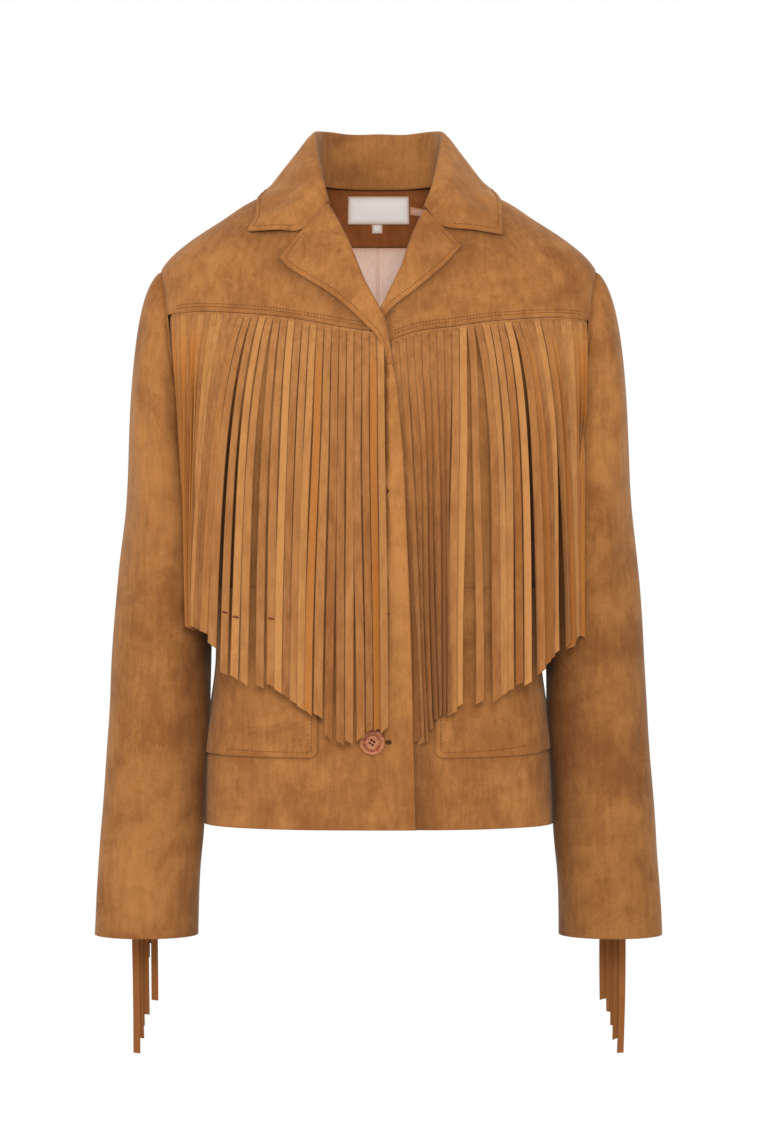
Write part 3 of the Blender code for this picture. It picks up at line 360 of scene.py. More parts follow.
CAMERA_AWAY = 3.0
CAMERA_TALL = 1.0555  # height that the camera takes in at the jacket
SENSOR = 36.0
CAMERA_X = 0.0
CAMERA_Z = -0.345
FLOOR_Z = -1.25
STAGE_LIGHTS = (
    ("name", "place", "aim", "size", "power"),
    (
        ("front", (0.1, -3.3, 0.35), (0.0, 0.0, -0.25), 0.9, 72.0),
        ("key", (-2.3, -1.9, 1.5), (0.0, 0.0, -0.3), 1.3, 22.0),
    ),
)

# Soft folds: from and to, sideways bow, half width and depth in millimetres
# (positive stands proud). Fronts run by distance from the middle and height.
FOLDS = ("from_a", "from_z", "to_a", "to_z", "bow", "width", "depth")
FRONT_FOLDS = both(
    FOLDS,
    (
        (118, -150, 104, -330, 6, 15, 1.6), (72, -190, 80, -420, -5, 19, -1.5),
        (38, -230, 30, -470, 4, 14, 1.1), (134, -360, 118, -470, 3, 9, -1.4),
        (108, -408, 96, -520, -3, 11, 1.1), (66, -522, 74, -581, 2, 15, 1.3),
        (112, -530, 106, -581, 2, 12, -1.2), (30, -520, 24, -581, 1, 12, -0.9),
        (142, -470, 128, -572, 3, 9, 1), (12, -300, 16, -420, 2, 8, -0.7),
    ),
    (
        (124, -155, 112, -320, -5, 16, 1.5), (84, -180, 92, -400, 6, 17, -1.4),
        (50, -240, 58, -450, -3, 13, 1), (130, -370, 120, -480, -3, 9, -1.3),
        (100, -420, 108, -522, 4, 12, 1), (52, -530, 44, -581, 2, 11, -1.3),
        (84, -526, 90, -581, -2, 14, 1.3), (126, -536, 120, -581, 1, 10, -1),
        (144, -480, 134, -578, 2, 8, 0.9), (30, -330, 36, -520, 2, 9, 0.8),
    ),
)
YOKE_FOLDS = both(
    FOLDS,
    (
        (166, -60, 120, -104, 5, 13, -1.1), (128, -40, 92, -78, -4, 12, 0.9),
        (92, -44, 78, -100, 3, 11, -0.7), (178, -84, 172, -108, 1, 8, 0.8),
    ),
    (
        (160, -56, 126, -110, -4, 12, -1), (120, -38, 100, -90, 4, 12, 0.9),
        (84, -62, 62, -108, 3, 10, -0.8), (182, -88, 176, -112, 1, 8, 0.8),
    ),
)
BACK_FOLDS = (
    FOLDS,
    (
        (-96, -60, -70, -240, 9, 17, -1.7), (88, -70, 62, -260, -8, 18, -1.6),
        (-130, -180, -112, -380, 6, 15, 1.5), (126, -200, 104, -360, -5, 14, 1.6),
        (-24, -120, -34, -330, 5, 16, 0.9), (30, -280, 22, -470, -4, 17, -1.2),
        (-118, -392, -60, -418, 7, 9, -1.5), (112, -404, 52, -424, -6, 10, -1.4),
        (-86, -440, -94, -581, 3, 16, 1.5), (-40, -470, -44, -581, -2, 13, -1.2),
        (74, -450, 84, -581, 3, 15, 1.4), (122, -480, 128, -581, -2, 11, -1.2),
    ),
)
# Sleeves run by the distance round them, from the outer side over the front, and
# by height.
SLEEVE_FOLDS = both(
    FOLDS,
    (
        (64, -128, 56, -250, 6, 12, -2.1), (48, -112, 39, -240, -5, 13, 1.3),
        (75, -235, 64, -380, 5, 15, 1.1), (32, -250, 46, -420, 7, 20, -1.3),
        (86, -300, 75, -345, 4, 7, -1.2), (15, -300, 4, -470, 6, 18, 1.2),
        (83, -395, 55, -452, 9, 8, -1.3), (75, -430, 48, -468, 7, 9, 0.9),
        (30, -520, 65, -548, -8, 9, -0.9), (55, -500, 46, -660, 5, 18, 1),
        (80, -560, 74, -680, 3, 13, -1.1), (20, -560, 26, -680, 4, 16, 0.9),
        (117.5, -150, 125, -300, 4, 14, -1.6), (137.5, -260, 127.5, -420, 5, 14, 1.2),
        (165, -330, 140, -372, 7, 8, -1.9), (172.5, -372, 145, -405, 8, 8, -1.6),
        (210, -140, 222.5, -330, 7, 15, -1.7), (260, -130, 250, -300, -6, 14, 1.5),
        (280, -340, 300, -520, 5, 16, 1.2), (200, -500, 210, -660, 4, 15, -1.3),
        (133, -440, 133, -640, 0, 17, 7.5),
    ),
    (
        (61, -132, 59, -262, -5, 12, -1.9), (46, -118, 35, -230, 5, 12, 1.4),
        (73, -245, 67, -360, 4, 14, 1), (35, -280, 44, -450, -6, 19, -1.2),
        (85, -318, 71, -352, 4, 7, -1.1), (13, -280, 6, -440, -6, 17, 1.1),
        (30, -498, 69, -540, 10, 8, -1.2), (48, -478, 75, -505, 7, 9, 0.9),
        (20, -588, 56, -600, -6, 9, -0.8), (52, -540, 49, -676, 4, 17, 1),
        (79, -570, 75, -684, -3, 12, -1.1), (24, -610, 22, -684, 4, 14, 0.9),
        (120, -160, 123, -310, -4, 13, -1.5), (135, -280, 131, -430, 5, 14, 1.2),
        (163, -338, 142, -376, 7, 8, -1.8), (170, -384, 148, -412, 7, 8, -1.5),
        (215, -150, 220, -340, -7, 15, -1.6), (257.5, -140, 253, -290, 6, 14, 1.4),
        (283, -350, 295, -500, -5, 16, 1.1), (202.5, -520, 208, -668, 4, 14, -1.2),
        (133, -440, 133, -640, 0, 17, 7.5),
    ),
)
COLLAR_FOLDS = (
    FOLDS,
    ((-104, 20, -78, -22, 3, 9, -0.8), (98, 22, 84, -14, -3, 9, -0.8), (-86, 40, -92, 8, 2, 8, 0.6)),
)

# Chest strands that hang apart from the rest: which one, its turn in degrees, how
# far it stands off the others, how much of its raw side shows and its shade.
STRAND_CHANGES = both(
    ("strand", "turn", "off", "raw", "tone"),
    (
        (0, 4, 0, 0, 0.2), (1, 16, 1.2, 0.9, 0), (2, -6, 0, 0, 0), (4, 8, 0.5, 0, 0.2),
        (6, -6, 0, 0, -0.1), (8, 10, 1, 0.75, 0), (10, 8, 0, 0, 0), (12, -6, 0, 0, 0.2),
        (14, 36, 0, 0, -0.1), (15, 6, 0.6, 0, 0.2), (17, -8, 0.8, 0, 0.1), (18, 8, 0, 0, 0),
        (19, -12, 0.6, 0.2, -0.2), (21, 30, 0.8, 0, 0.2), (24, 40, 1, 0, -0.4), (25, 52, 1.6, 0.6, 0),
        (26, 70, 2.4, 1, 0), (27, 40, 0.8, 0.3, -0.3), (28, 66, 2.2, 1, 0), (29, 52, 0.8, 0.4, -0.2),
        (30, 74, 2, 0.8, -0.2),
    ),
    (
        (0, 4, 0, 0, -0.5), (1, 10, 0, 0, -0.4), (2, 12, 0, 0, -0.6), (3, 6, 0, 0, -0.4),
        (4, 14, 0, 0.1, -0.6), (5, 8, 0, 0, -0.5), (6, 10, 0, 0, -0.6), (7, 14, 0, 0, -0.3),
        (8, -4, 0.8, 0, 0.3), (9, 6, 0.4, 0, 0.2), (10, -4, 0, 0, 0.1), (11, 5, 0.6, 0, 0.1),
        (14, 24, 0, 0.2, -0.4), (15, 6, 0.4, 0, 0.2), (16, 30, 0.8, 0.1, 0.1), (17, 34, 0.4, 0.5, 0),
        (19, 12, 0, 0, 0.2), (20, 58, 0.8, 0.3, -0.3), (21, 64, 1, 0.6, -0.2), (22, 30, 0.6, 0, 0.2),
        (24, 14, 1, 0, 0.4), (25, 52, 1.6, 0.5, 0), (26, 70, 2.4, 1, 0), (27, 78, 3, 1, -0.2),
    ),
)


def smooth(low, high, value):
    """0 below low and 1 above high, joined by the cubic 3t^2 - 2t^3."""
    t = np.clip((np.asarray(value, float) - low) / (high - low), 0, 1)
    return t * t * (3 - 2 * t)


def column(table, name, at):
    """A named column of a table as a smooth curve over its first column: a cubic
    between each two rows whose slopes are the differences of their neighbours."""
    names, rows = table
    data = np.array(rows, float)
    data = data[np.argsort(data[:, 0])]
    x, y = data[:, 0], data[:, names.index(name)]
    slope = np.gradient(y, x)
    at = np.clip(np.asarray(at, float), x[0], x[-1])
    i = np.clip(np.searchsorted(x, at) - 1, 0, len(x) - 2)
    span = x[i + 1] - x[i]
    t = (at - x[i]) / span
    rise = y[i + 1] - y[i]
    bend = (1 - t) * (slope[i] * span - rise) - t * (slope[i + 1] * span - rise)
    return y[i] + t * rise + t * (1 - t) * bend


def seam_z(side, x):
    """Height of a yoke seam at distance x from the middle."""
    return column(YOKE_SEAM[side], "z", x)


def roll_x(side, z):
    """Distance of a lapel's roll line from the middle at height z."""
    return column(ROLL_LINE[side], "x", z)


def edge_x(side, z):
    """Distance of a front's edge from the middle at height z."""
    return column(FRONT_EDGE[side], "x", z)


def unit(vectors):
    """The same directions with length 1."""
    length = np.linalg.norm(vectors, axis=-1, keepdims=True)
    return vectors / np.maximum(length, 1e-9)


def mirrored(points, side):
    """Points or directions of the left side, moved to the given side."""
    return np.asarray(points) * np.array([side, 1.0, 1.0])


def ripple(points, seed, reach):
    """Uneven waviness from -1 to 1: the mean of six plane sine waves of unlike
    direction and length through space."""
    dice = np.random.default_rng(seed)
    total = 0.0
    for _ in range(6):
        way = unit(dice.normal(size=3))
        length, phase = reach * dice.uniform(0.6, 1.7), dice.uniform(0, 2 * math.pi)
        total = total + np.sin(points @ way * 2 * math.pi / length + phase)
    return total / 6


def fold_field(table, a, b, depth_scale=1.0):
    """Sum of soft folds. Each is a Gaussian across its bowed centre line, faded
    to nothing at both of its ends."""
    total = np.zeros(np.broadcast(a, b).shape)
    for a0, b0, a1, b1, bow, width, depth in table[1]:
        run = math.hypot(a1 - a0, b1 - b0)
        ux, uy = (a1 - a0) / run, (b1 - b0) / run
        t = ((a - a0) * ux + (b - b0) * uy) / run
        inside = np.clip(t, 0, 1)
        off = (a - a0) * uy - (b - b0) * ux - bow * 4 * inside * (1 - inside)
        fade = smooth(-0.12, 0.3, t) * (1 - smooth(0.7, 1.12, t))
        total = total + depth * fade * np.exp(-((off / width) ** 2))
    return total * depth_scale


def section(table, z):
    """All the columns of a table of level sections at height z."""
    return [column(table, name, z) for name in table[0][1:]]


def torso_point(phi, z):
    """Point of the body: a superellipse at height z whose half width and depths
    come from the sections. phi runs from the left side seam (0) over the front to
    the right side seam (pi), and the back has negative phi."""
    phi, z = np.broadcast_arrays(np.asarray(phi, float), np.asarray(z, float))
    width, front, back, seam, power = section(TORSO, z)
    across, deep = np.cos(phi), np.sin(phi)
    depth = np.where(deep > 0, -(front + seam), back - seam)
    x = width * np.sign(across) * np.abs(across) ** (2 / power)
    y = seam + depth * np.abs(deep) ** (2 / power)
    return np.stack([x, y, z], axis=-1)


def torso_normal(phi, z):
    """Cross product of the body's two slopes, taken by small steps."""
    step = 1e-3
    round_body = torso_point(np.add(phi, step), z) - torso_point(np.subtract(phi, step), z)
    up_body = torso_point(phi, np.add(z, 0.5)) - torso_point(phi, np.subtract(z, 0.5))
    return unit(np.cross(up_body, round_body))


def phi_front(x, z):
    """Angle of the front point at distance x from the middle plane."""
    width, _, _, _, power = section(TORSO, z)
    share = np.clip(np.abs(x) / width, 0, 1)
    return np.arccos(np.clip(np.sign(x) * share ** (power / 2), -1, 1))


def seam_phi(z, back):
    """Angle that stays half a gap from the side and shoulder seams."""
    _, front, behind, seam, power = section(TORSO, z)
    depth = behind - seam if back else front + seam
    return (HALF_GAP / depth) ** (power / 2)


def armhole_phi(turn, spread):
    """Angle of the armhole's edge round the body: a sine to a power, so that it
    is a little squarer than an ellipse."""
    return spread * np.abs(np.sin(turn)) ** ARMHOLE_SQUARE


def armhole_z(turn):
    """Height on the armhole: turn 0 is the shoulder tip, pi the armpit."""
    return ARMPIT_Z + ARMHOLE_HALF * (1 + np.cos(turn))


def armhole_turn(z):
    """The reverse of armhole_z."""
    return np.arccos(np.clip((z - ARMPIT_Z) / ARMHOLE_HALF - 1, -1, 1))


def outer_phi(z, back):
    """Outer edge of a panel: the shoulder seam, then the armhole, then the side."""
    spread = ARMHOLE_SPREAD_BACK if back else ARMHOLE_SPREAD_FRONT
    hole = armhole_phi(armhole_turn(z), spread)
    hole = np.where((z < SHOULDER_TIP_Z) & (z > ARMPIT_Z), hole, 0.0)
    return np.maximum(hole, seam_phi(z, back))


def armhole_ring(turn, inset):
    """Points and normals on the body's surface, inset into the armhole."""
    front = np.sin(turn) >= 0
    spread = np.where(front, ARMHOLE_SPREAD_FRONT, ARMHOLE_SPREAD_BACK)
    phi, z = np.where(front, 1.0, -1.0) * armhole_phi(turn, spread), armhole_z(turn)
    middle_z = (SHOULDER_TIP_Z + ARMPIT_Z) / 2
    reach = torso_point(phi, z) - torso_point(0.0, middle_z)
    share = 1 - inset / np.linalg.norm(reach, axis=-1)
    phi, z = phi * share, middle_z + (z - middle_z) * share
    return torso_point(phi, z), torso_normal(phi, z)


def body_drop(side, x, z):
    """How far the left front drops where it passes under the right front's edge."""
    if side == RIGHT:
        return np.zeros(np.broadcast(x, z).shape)
    roll = -roll_x(RIGHT, z)
    edge = np.where(np.asarray(z) > LAP_MEETS_ROLL_Z, roll, -edge_x(RIGHT, z))
    under = 1 - np.clip((x - edge - LAP_STEP) / LAP_EASE, 0, 1)
    return LAP_DEPTH * under * (1 - smooth(*LAP_TOP_Z, z))


def fringe_dip(side, x, z):
    """How far a front drops under the edge of its yoke."""
    seam = seam_z(side, x)
    return FRINGE_DIP * (1 - smooth(0, FRINGE_DIP_HEIGHT, seam - z))


def band(side, x, z):
    """How far the doubled edge of the right front stands up beside the fringe."""
    if side == LEFT:
        return 0.0
    along = smooth(*BAND_TOP_Z, z) * (1 - smooth(*BAND_END_Z, z))
    return BAND_HEIGHT * (1 - smooth(*BAND_X, x)) * along


def painted_shade_under_fringe(side, sheet):
    """Painted shade on a sheet under the chest fringe, deepest by its sides and beside the band, with
    painted light in its middle and on the right front's band.
    """
    x, z = sheet[..., 0] * side, sheet[..., 2]
    below = smooth(0, SHADE_FADE, seam_z(side, x) - z)
    above = smooth(-1, SHADE_FADE, z - column(CHEST_TIPS[side], "z", x))
    start = CHEST_FRINGE_X[side][0]
    # Painted shade by the outer side and beside the band's start, painted light (below zero) in the
    # middle.
    deep = -0.3 + 1.3 * smooth(*SHADE_OUTER_X, x) + 1.1 * np.exp(-(((x - start + 1) / 3.2) ** 2))
    shade = below * above * smooth(start - 4.5, start - 1, x) * np.minimum(deep, 1)
    if side == RIGHT:
        # Painted light on the band beside the fringe.
        beside = 1 - smooth(start - 4.5, start - 2, x)
        return shade - BAND_PAINTED_LIGHT * beside * smooth(*BAND_PAINTED_LIGHT_Z, z)
    from_lap = x + edge_x(RIGHT, z)
    # Painted shade along the lap, where the right front's edge stands over the left front.
    return shade + LAP_SHADE * (1 - smooth(*LAP_SHADE_REACH, from_lap)) * smooth(*LAP_SHADE_Z, z)


def painted_shadow_beside_lapel(side, sheet):
    """Painted shadow on a yoke along the edges of the lapel and the collar that stand over it, fading out
    within a few centimetres."""
    v, t = np.linspace(0, 0.93, 60), np.linspace(0, 1, 40)
    line_x, line_z = [
        np.concatenate([column(LAPEL_EDGE[side], axis, v), np.interp(t, (0, 1), ends)])
        for axis, ends in COLLAR_SHADE.items()
    ]
    away = np.hypot(sheet[..., None, 0] * side - line_x, sheet[..., None, 2] - line_z).min(axis=-1)
    return LAPEL_SHADE[side] * np.exp(-((away / LAPEL_SHADE_REACH) ** 1.2))


def painted_sleeve_shade(side, sheet):
    """Painted shade on a sleeve: a little on its lower half, more on the side by the body."""
    count = sheet.shape[1]
    around, z = np.arange(count) * 2 * math.pi * ARM_RADIUS / count, sheet[..., 2]
    low = SLEEVE_SHADE[side] * smooth(-190, -480, z)
    by_body = np.exp(-(((around - INNER_AROUND) / INNER_WIDTH) ** 2))
    return low + by_body * smooth(-240, -400, z) * (1 - 0.6 * smooth(-560, -640, z))


def front_drape(side, phi, point):
    """Folds of a front and its yoke, fading out towards the seams round them."""
    scale = sizes().fold_depth
    x, z = point[..., 0], point[..., 2]
    fade = smooth(0.02, 0.32, phi - outer_phi(z, False))
    seam = seam_z(side, x)
    below = fold_field(FRONT_FOLDS[side], x, z, scale) + 0.8 * ripple(point, 11 + side, 90)
    above = fold_field(YOKE_FOLDS[side], x, z, scale) + 0.5 * ripple(point, 31 + side, 70)
    below = below * smooth(4, 40, seam - z)
    above = above * smooth(3, 22, z - seam)
    middle = smooth(-12, 26, x - 7 * side)
    return (below + above) * fade * middle


def front_at(side, phi, z, out=0.0):
    """Point of a front or yoke and the body's normal there, moved out along the
    normal by out, by the folds and down by the lap."""
    phi, z = np.broadcast_arrays(np.asarray(phi, float), np.asarray(z, float))
    point, normal = torso_point(phi, z), torso_normal(phi, z)
    x = point[..., 0]
    lift = out - body_drop(side, x, z) + front_drape(side, phi, point) + band(side, x, z)
    return mirrored(point + lift[..., None] * normal, side), mirrored(normal, side)


def front_surface(side, x, z, out=0.0):
    """The same, at distance x from the middle plane and height z."""
    x, z = np.broadcast_arrays(np.asarray(x, float), np.asarray(z, float))
    return front_at(side, phi_front(x, z), z, out)


def edged(count, length, fine=(0.0, 0.3, 0.8, 1.7)):
    """Shares from 0 to 1 with rows set close at both ends for the rounded edge."""
    near = np.array(fine) / length
    middle = np.linspace(near[-1], 1 - near[-1], count - 2 * (len(fine) - 1))
    return np.concatenate([near[:-1], middle, 1 - near[:-1][::-1]])


def runs(points):
    """Distances along the surface from each border: first and last row, first
    and last column."""
    down = np.linalg.norm(np.diff(points, axis=0), axis=-1)
    over = np.linalg.norm(np.diff(points, axis=1), axis=-1)
    top = np.concatenate([np.zeros((1, points.shape[1])), np.cumsum(down, axis=0)])
    left = np.concatenate([np.zeros((points.shape[0], 1)), np.cumsum(over, axis=1)], axis=1)
    return {"top": top, "bottom": top[-1] - top, "left": left, "right": left[:, -1:] - left}


def grid_quads(rows, columns, wrap=False):
    """Quads of a grid of points, closed round its rows where it wraps."""
    r, c = np.meshgrid(np.arange(rows - 1), np.arange(columns - (not wrap)), indexing="ij")
    d = (c + 1) % columns
    quads = [r * columns + c, r * columns + d, (r + 1) * columns + d, (r + 1) * columns + c]
    return np.stack(quads, axis=-1).reshape(-1, 4)


def rim_quads(rows, columns, wrap=False):
    """Quads that join the border of a grid to that of its inner copy."""
    index = np.arange(rows * columns).reshape(rows, columns)
    if wrap:
        loops = [index[0], index[-1][::-1]]
    else:
        loops = [np.concatenate([index[0], index[1:, -1], index[-1, -2::-1], index[-2:0:-1, 0]])]
    quads = []
    for loop in loops:
        after = np.roll(loop, -1)
        quads.append(np.stack([after, loop, loop + index.size, after + index.size], axis=-1))
    return np.concatenate(quads)


def volume_sign(points, quads):
    """Six times the volume inside the quads, negative if they face inward."""
    a, b, c, d = (points[quads[:, i]] for i in range(4))
    return np.sum(np.cross(a, b) * c) + np.sum(np.cross(a, c) * d)


def faced_out(points, quads):
    """Quads turned round if they face inward."""
    return quads[:, ::-1] if volume_sign(points, quads) < 0 else quads


def joined(parts):
    """Points and quads of several parts as one set of each."""
    counts = np.cumsum([0] + [len(points) for points, _ in parts])
    quads = [quads + count for (_, quads), count in zip(parts, counts)]
    return np.concatenate([points for points, _ in parts]), np.concatenate(quads)


def make_piece(name, points, quads, look, slot, nodes=(), marks=None):
    """Object whose mesh holds the given points, in millimetres, and quads."""
    points = np.asarray(points, float).reshape(-1, 3)
    quads = faced_out(points, np.asarray(quads, int))
    mesh = bpy.data.meshes.new(name)
    mesh.vertices.add(len(points))
    mesh.vertices.foreach_set("co", (points * MM).astype(np.float32).ravel())
    mesh.loops.add(quads.size)
    mesh.loops.foreach_set("vertex_index", quads.astype(np.int32).ravel())
    mesh.polygons.add(len(quads))
    mesh.polygons.foreach_set("loop_start", np.arange(0, quads.size, 4, dtype=np.int32))
    mesh.update(calc_edges=True)
    if mesh.validate():
        raise RuntimeError(f"{name} has faults in its mesh")
    for mark, values in (marks or {}).items():
        layer = mesh.attributes.new(mark, "FLOAT", "POINT")
        layer.data.foreach_set("value", np.asarray(values, np.float32).ravel())
    mesh.shade_smooth()
    mesh.set_sharp_from_angle(angle=math.radians(55))
    mesh.materials.append(finish(look))
    made = bpy.data.objects.new(name, mesh)
    bpy.context.scene.collection.objects.link(made)
    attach(made, "root")
    if nodes:
        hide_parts(*nodes)
    return made


def rounding(distance, thickness):
    """Drop of a wall's face near its edge: a quarter of an ellipse, nearly down
    to the middle of the wall."""
    half = thickness / 2
    t = np.clip(1 - distance / half, 0, 1)
    return 0.86 * half * (1 - np.sqrt(1 - t * t))


def shell(
    node, outer, normals, wall, look="suede", slot="suede", wrap=False, seams=None, shade=None
):
    """Thin closed wall under a sheet of points, in place of a node. Near its
    borders the two faces round together, and along each sewn border the wall dips
    by the given depth and puckers."""
    thickness = wall / MM
    far = runs(outer)
    borders = ("top", "bottom") if wrap else ("top", "bottom", "left", "right")
    nearest = np.min([far[b] for b in borders], axis=0)
    dip = np.zeros(nearest.shape)
    for border, (depth, reach) in (seams or {}).items():
        along = far["left" if border in ("top", "bottom") else "top"]
        pucker = 0.30 * np.sin(along / 1.75 + 2.2 * np.sin(along / 13)) * np.sin(along / 37 + 1) ** 2
        dip = dip + (depth + pucker * depth) * np.exp(-((far[border] / reach) ** 2))
    rounded = rounding(nearest, thickness)
    top = outer - (dip + rounded)[..., None] * normals
    low = outer - (dip + thickness - rounded)[..., None] * normals
    rows, columns = nearest.shape
    quads = grid_quads(rows, columns, wrap)
    count = rows * columns
    faces = np.concatenate([quads, quads[:, ::-1] + count, rim_quads(rows, columns, wrap)])
    marks = {"edge": np.tile(np.exp(-nearest / 1.6).ravel(), 2)}
    if shade is not None:
        marks["shade"] = np.tile(shade.ravel(), 2)
    points = np.concatenate([top.reshape(-1, 3), low.reshape(-1, 3)])
    return make_piece(f"{node}_cloth", points, faces, look, slot, [node], marks)


def heights(top, bottom):
    """Row heights between two levels: even down the shoulder seam, by the turn
    round the armhole and even down the side, with close rows at both ends."""
    z = np.concatenate([
        np.linspace(NECK_Z, SHOULDER_TIP_Z, 46)[:-1],
        armhole_z(np.linspace(0, math.pi, 52))[:-1],
        np.linspace(ARMPIT_Z, HEM_Z, 112),
    ])
    z = z[(z < top - 2.6) & (z > bottom + 2.6)]
    near = np.array([0, 0.3, 0.8, 1.7])
    return np.concatenate([top - near, z, (bottom + near)[::-1]])[:, None]


def front_sheet(side):
    """Sheet of a front: each row runs from the front edge to the armhole or side
    seam, and is bent up to the line of the yoke seam near its top."""
    seam_end = seam_z(side, SEAM_END_X)
    z_out = heights(float(seam_end), HEM_Z)
    fade = 1 - smooth(0, 1, (seam_end - z_out) / (seam_end - ARMPIT_Z))
    edge_z = z_out + (seam_z(side, 0) - seam_end) * fade
    phi_in = phi_front(edge_x(side, edge_z), edge_z)
    u = edged(96, 190)
    phi = phi_in + (outer_phi(z_out, False) - phi_in) * u
    z = z_out + 0 * u
    for _ in range(4):
        x = torso_point(phi, z)[..., 0]
        z = z_out + (seam_z(side, x) - seam_end) * fade * (1 - u**6)
    z[0] -= HALF_GAP
    dip = fringe_dip(side, torso_point(phi, z)[..., 0], z)
    return front_at(side, phi, z, -dip)


def yoke_start(side, z):
    """Where a yoke starts: at its roll line, or a little past the other lapel's
    roll where the left yoke passes under it."""
    own = roll_x(side, z) + ROLL_CLEAR
    if side == RIGHT:
        return own
    other = -roll_x(RIGHT, z) - 4.0
    return own + (np.minimum(own, other) - own) * smooth(-110, -118, z)


def tuck(side, x, z):
    """How far the left yoke and lapel drop to pass under the right lapel's roll."""
    if side == RIGHT:
        return 0.0
    from_roll = x + roll_x(RIGHT, z) - 3.2
    deep = (1 - smooth(0, 9, from_roll)) * smooth(-108, -116, z)
    return (TUCK_DEPTH - body_drop(side, x, z)) * deep


def yoke_sheet(side):
    """Sheet of a front yoke, from the neck down to the yoke seam."""
    seam_end = seam_z(side, SEAM_END_X)
    z_out = heights(YOKE_TOP_Z, float(seam_end))
    fade = smooth(-10, seam_end, z_out)
    phi_out = outer_phi(z_out, False)
    u = edged(84, 150)
    z = z_out + 0 * u
    for _ in range(5):
        phi_in = phi_front(yoke_start(side, z), z)
        phi = phi_in + (phi_out - phi_in) * u
        x = torso_point(phi, z)[..., 0]
        z = z_out + (seam_z(side, x) - seam_end) * fade * (1 - u**6)
    z[-1] += GAP
    return front_at(side, phi, z, -tuck(side, torso_point(phi, z)[..., 0], z))


def back_at(phi, z, out=0.0):
    """Point of the back, moved out by out and by the folds of the cloth."""
    point, normal = torso_point(phi, z), torso_normal(phi, z)
    from_seam = np.minimum(-phi, math.pi + phi) - outer_phi(z, True)
    fade = smooth(0.02, 0.3, from_seam)
    lift = fold_field(BACK_FOLDS, point[..., 0], z, sizes().fold_depth)
    lift = (lift + 0.5 * ripple(point, 5, 95)) * fade * smooth(18, -30, z)
    return point + (out + lift)[..., None] * normal, normal


def back_sheet():
    """Sheet of the back, from the left seams round to the right ones."""
    z = heights(NECK_Z - HALF_GAP, HEM_Z)
    edge = outer_phi(z, True)
    return back_at(-(edge + (math.pi - 2 * edge) * edged(112, 330)), z + np.zeros(112))


def sleeve_section(turn, z):
    """Ellipse at height z; turn 0 is its outer side and pi/2 its front."""
    inner_x, outer_x, front_y, back_y = section(SLEEVE, z)
    x = (inner_x + outer_x) / 2 + (outer_x - inner_x) / 2 * np.cos(turn)
    y = (front_y + back_y) / 2 - (back_y - front_y) / 2 * np.sin(turn)
    return np.stack(np.broadcast_arrays(x, y, np.asarray(z, float)), axis=-1)


def sleeve_frame(turns, cap_rows=42, arm_rows=126):
    """Rings of a sleeve on the left side: a Hermite blend from the armhole to the
    first hanging section, then the sections down to the cuff."""
    start, start_normal = armhole_ring(turns, GAP)
    end = sleeve_section(turns, SLEEVE_TOP_Z)
    end_slope = sleeve_section(turns, SLEEVE_TOP_Z - 1) - end
    reach = np.linalg.norm(end - start, axis=-1, keepdims=True)
    up = (1 + np.cos(turns)) / 2
    lift = np.stack([0.16 + 0.72 * up, -0.36 * np.sin(turns), -0.95 + 0.30 * up], axis=-1)
    start_pull = unit(lift) * reach * (0.85 - 0.34 * up)[:, None]
    end_pull = end_slope * reach * 0.9
    near = np.array([0, 0.0016, 0.0045, 0.010])
    t = np.concatenate([near[:-1], np.linspace(near[-1], 1, cap_rows)])[:, None, None]
    blend = (1 + 2 * t) * (1 - t) ** 2, t * (1 - t) ** 2, t * t * (3 - 2 * t), t * t * (t - 1)
    cap = blend[0] * start + blend[1] * start_pull + blend[2] * end + blend[3] * end_pull
    drop = SLEEVE_TOP_Z - CUFF_Z
    z = SLEEVE_TOP_Z - drop * edged(arm_rows, drop)[4:, None]
    rings = np.concatenate([cap, sleeve_section(turns, z)])
    round_sleeve = np.roll(rings, -1, axis=1) - np.roll(rings, 1, axis=1)
    normals = unit(np.cross(round_sleeve, np.gradient(rings, axis=0)))
    outward = rings - rings.mean(axis=1, keepdims=True)
    normals = normals * np.sign(np.sum(normals * outward, axis=-1, keepdims=True))
    normals[0] = start_normal
    return rings, normals


def sleeve_sheet(side, count=130):
    """Sheet of a sleeve with its folds, which run by the distance round it and
    by height and are deeper on its front."""
    turns = np.arange(count) * 2 * math.pi / count
    rings, normals = sleeve_frame(turns)
    around, z = turns * ARM_RADIUS, rings[..., 2]
    lap = 2 * math.pi * ARM_RADIUS
    scale = sizes().fold_depth * (1 + SLEEVE_FRONT_DEEPER * (1 - smooth(95, 120, around)))
    lift = sum(fold_field(SLEEVE_FOLDS[side], around + k * lap, z, scale) for k in (-1, 0, 1))
    lift = lift + 0.55 * ripple(rings, 50 + side, 85)
    lift = lift * smooth(2, 26, runs(rings)["top"])
    return mirrored(rings + lift[..., None] * normals, side), mirrored(normals, side)


def lifted(points, gap):
    """Points moved out until they clear the plain body by the gap, by four
    Newton steps on the superellipse's height."""
    points = np.array(points, float)

    def height(at):
        width, front_depth, back_depth, seam, power = section(TORSO, at[..., 2])
        depth = np.where(at[..., 1] < seam, front_depth + seam, back_depth - seam)
        ratio = np.abs(at[..., 0]) / width, np.abs(at[..., 1] - seam) / depth
        return (ratio[0] ** power + ratio[1] ** power) ** (1 / power) - 1

    for _ in range(4):
        here = height(points)
        steps = np.eye(3) * 0.2
        slope = np.stack([(height(points + s) - height(points - s)) / 0.4 for s in steps], axis=-1)
        length = np.linalg.norm(slope, axis=-1)
        short = np.maximum(0, gap - here / length)
        points += (short / length)[..., None] * slope
    return points


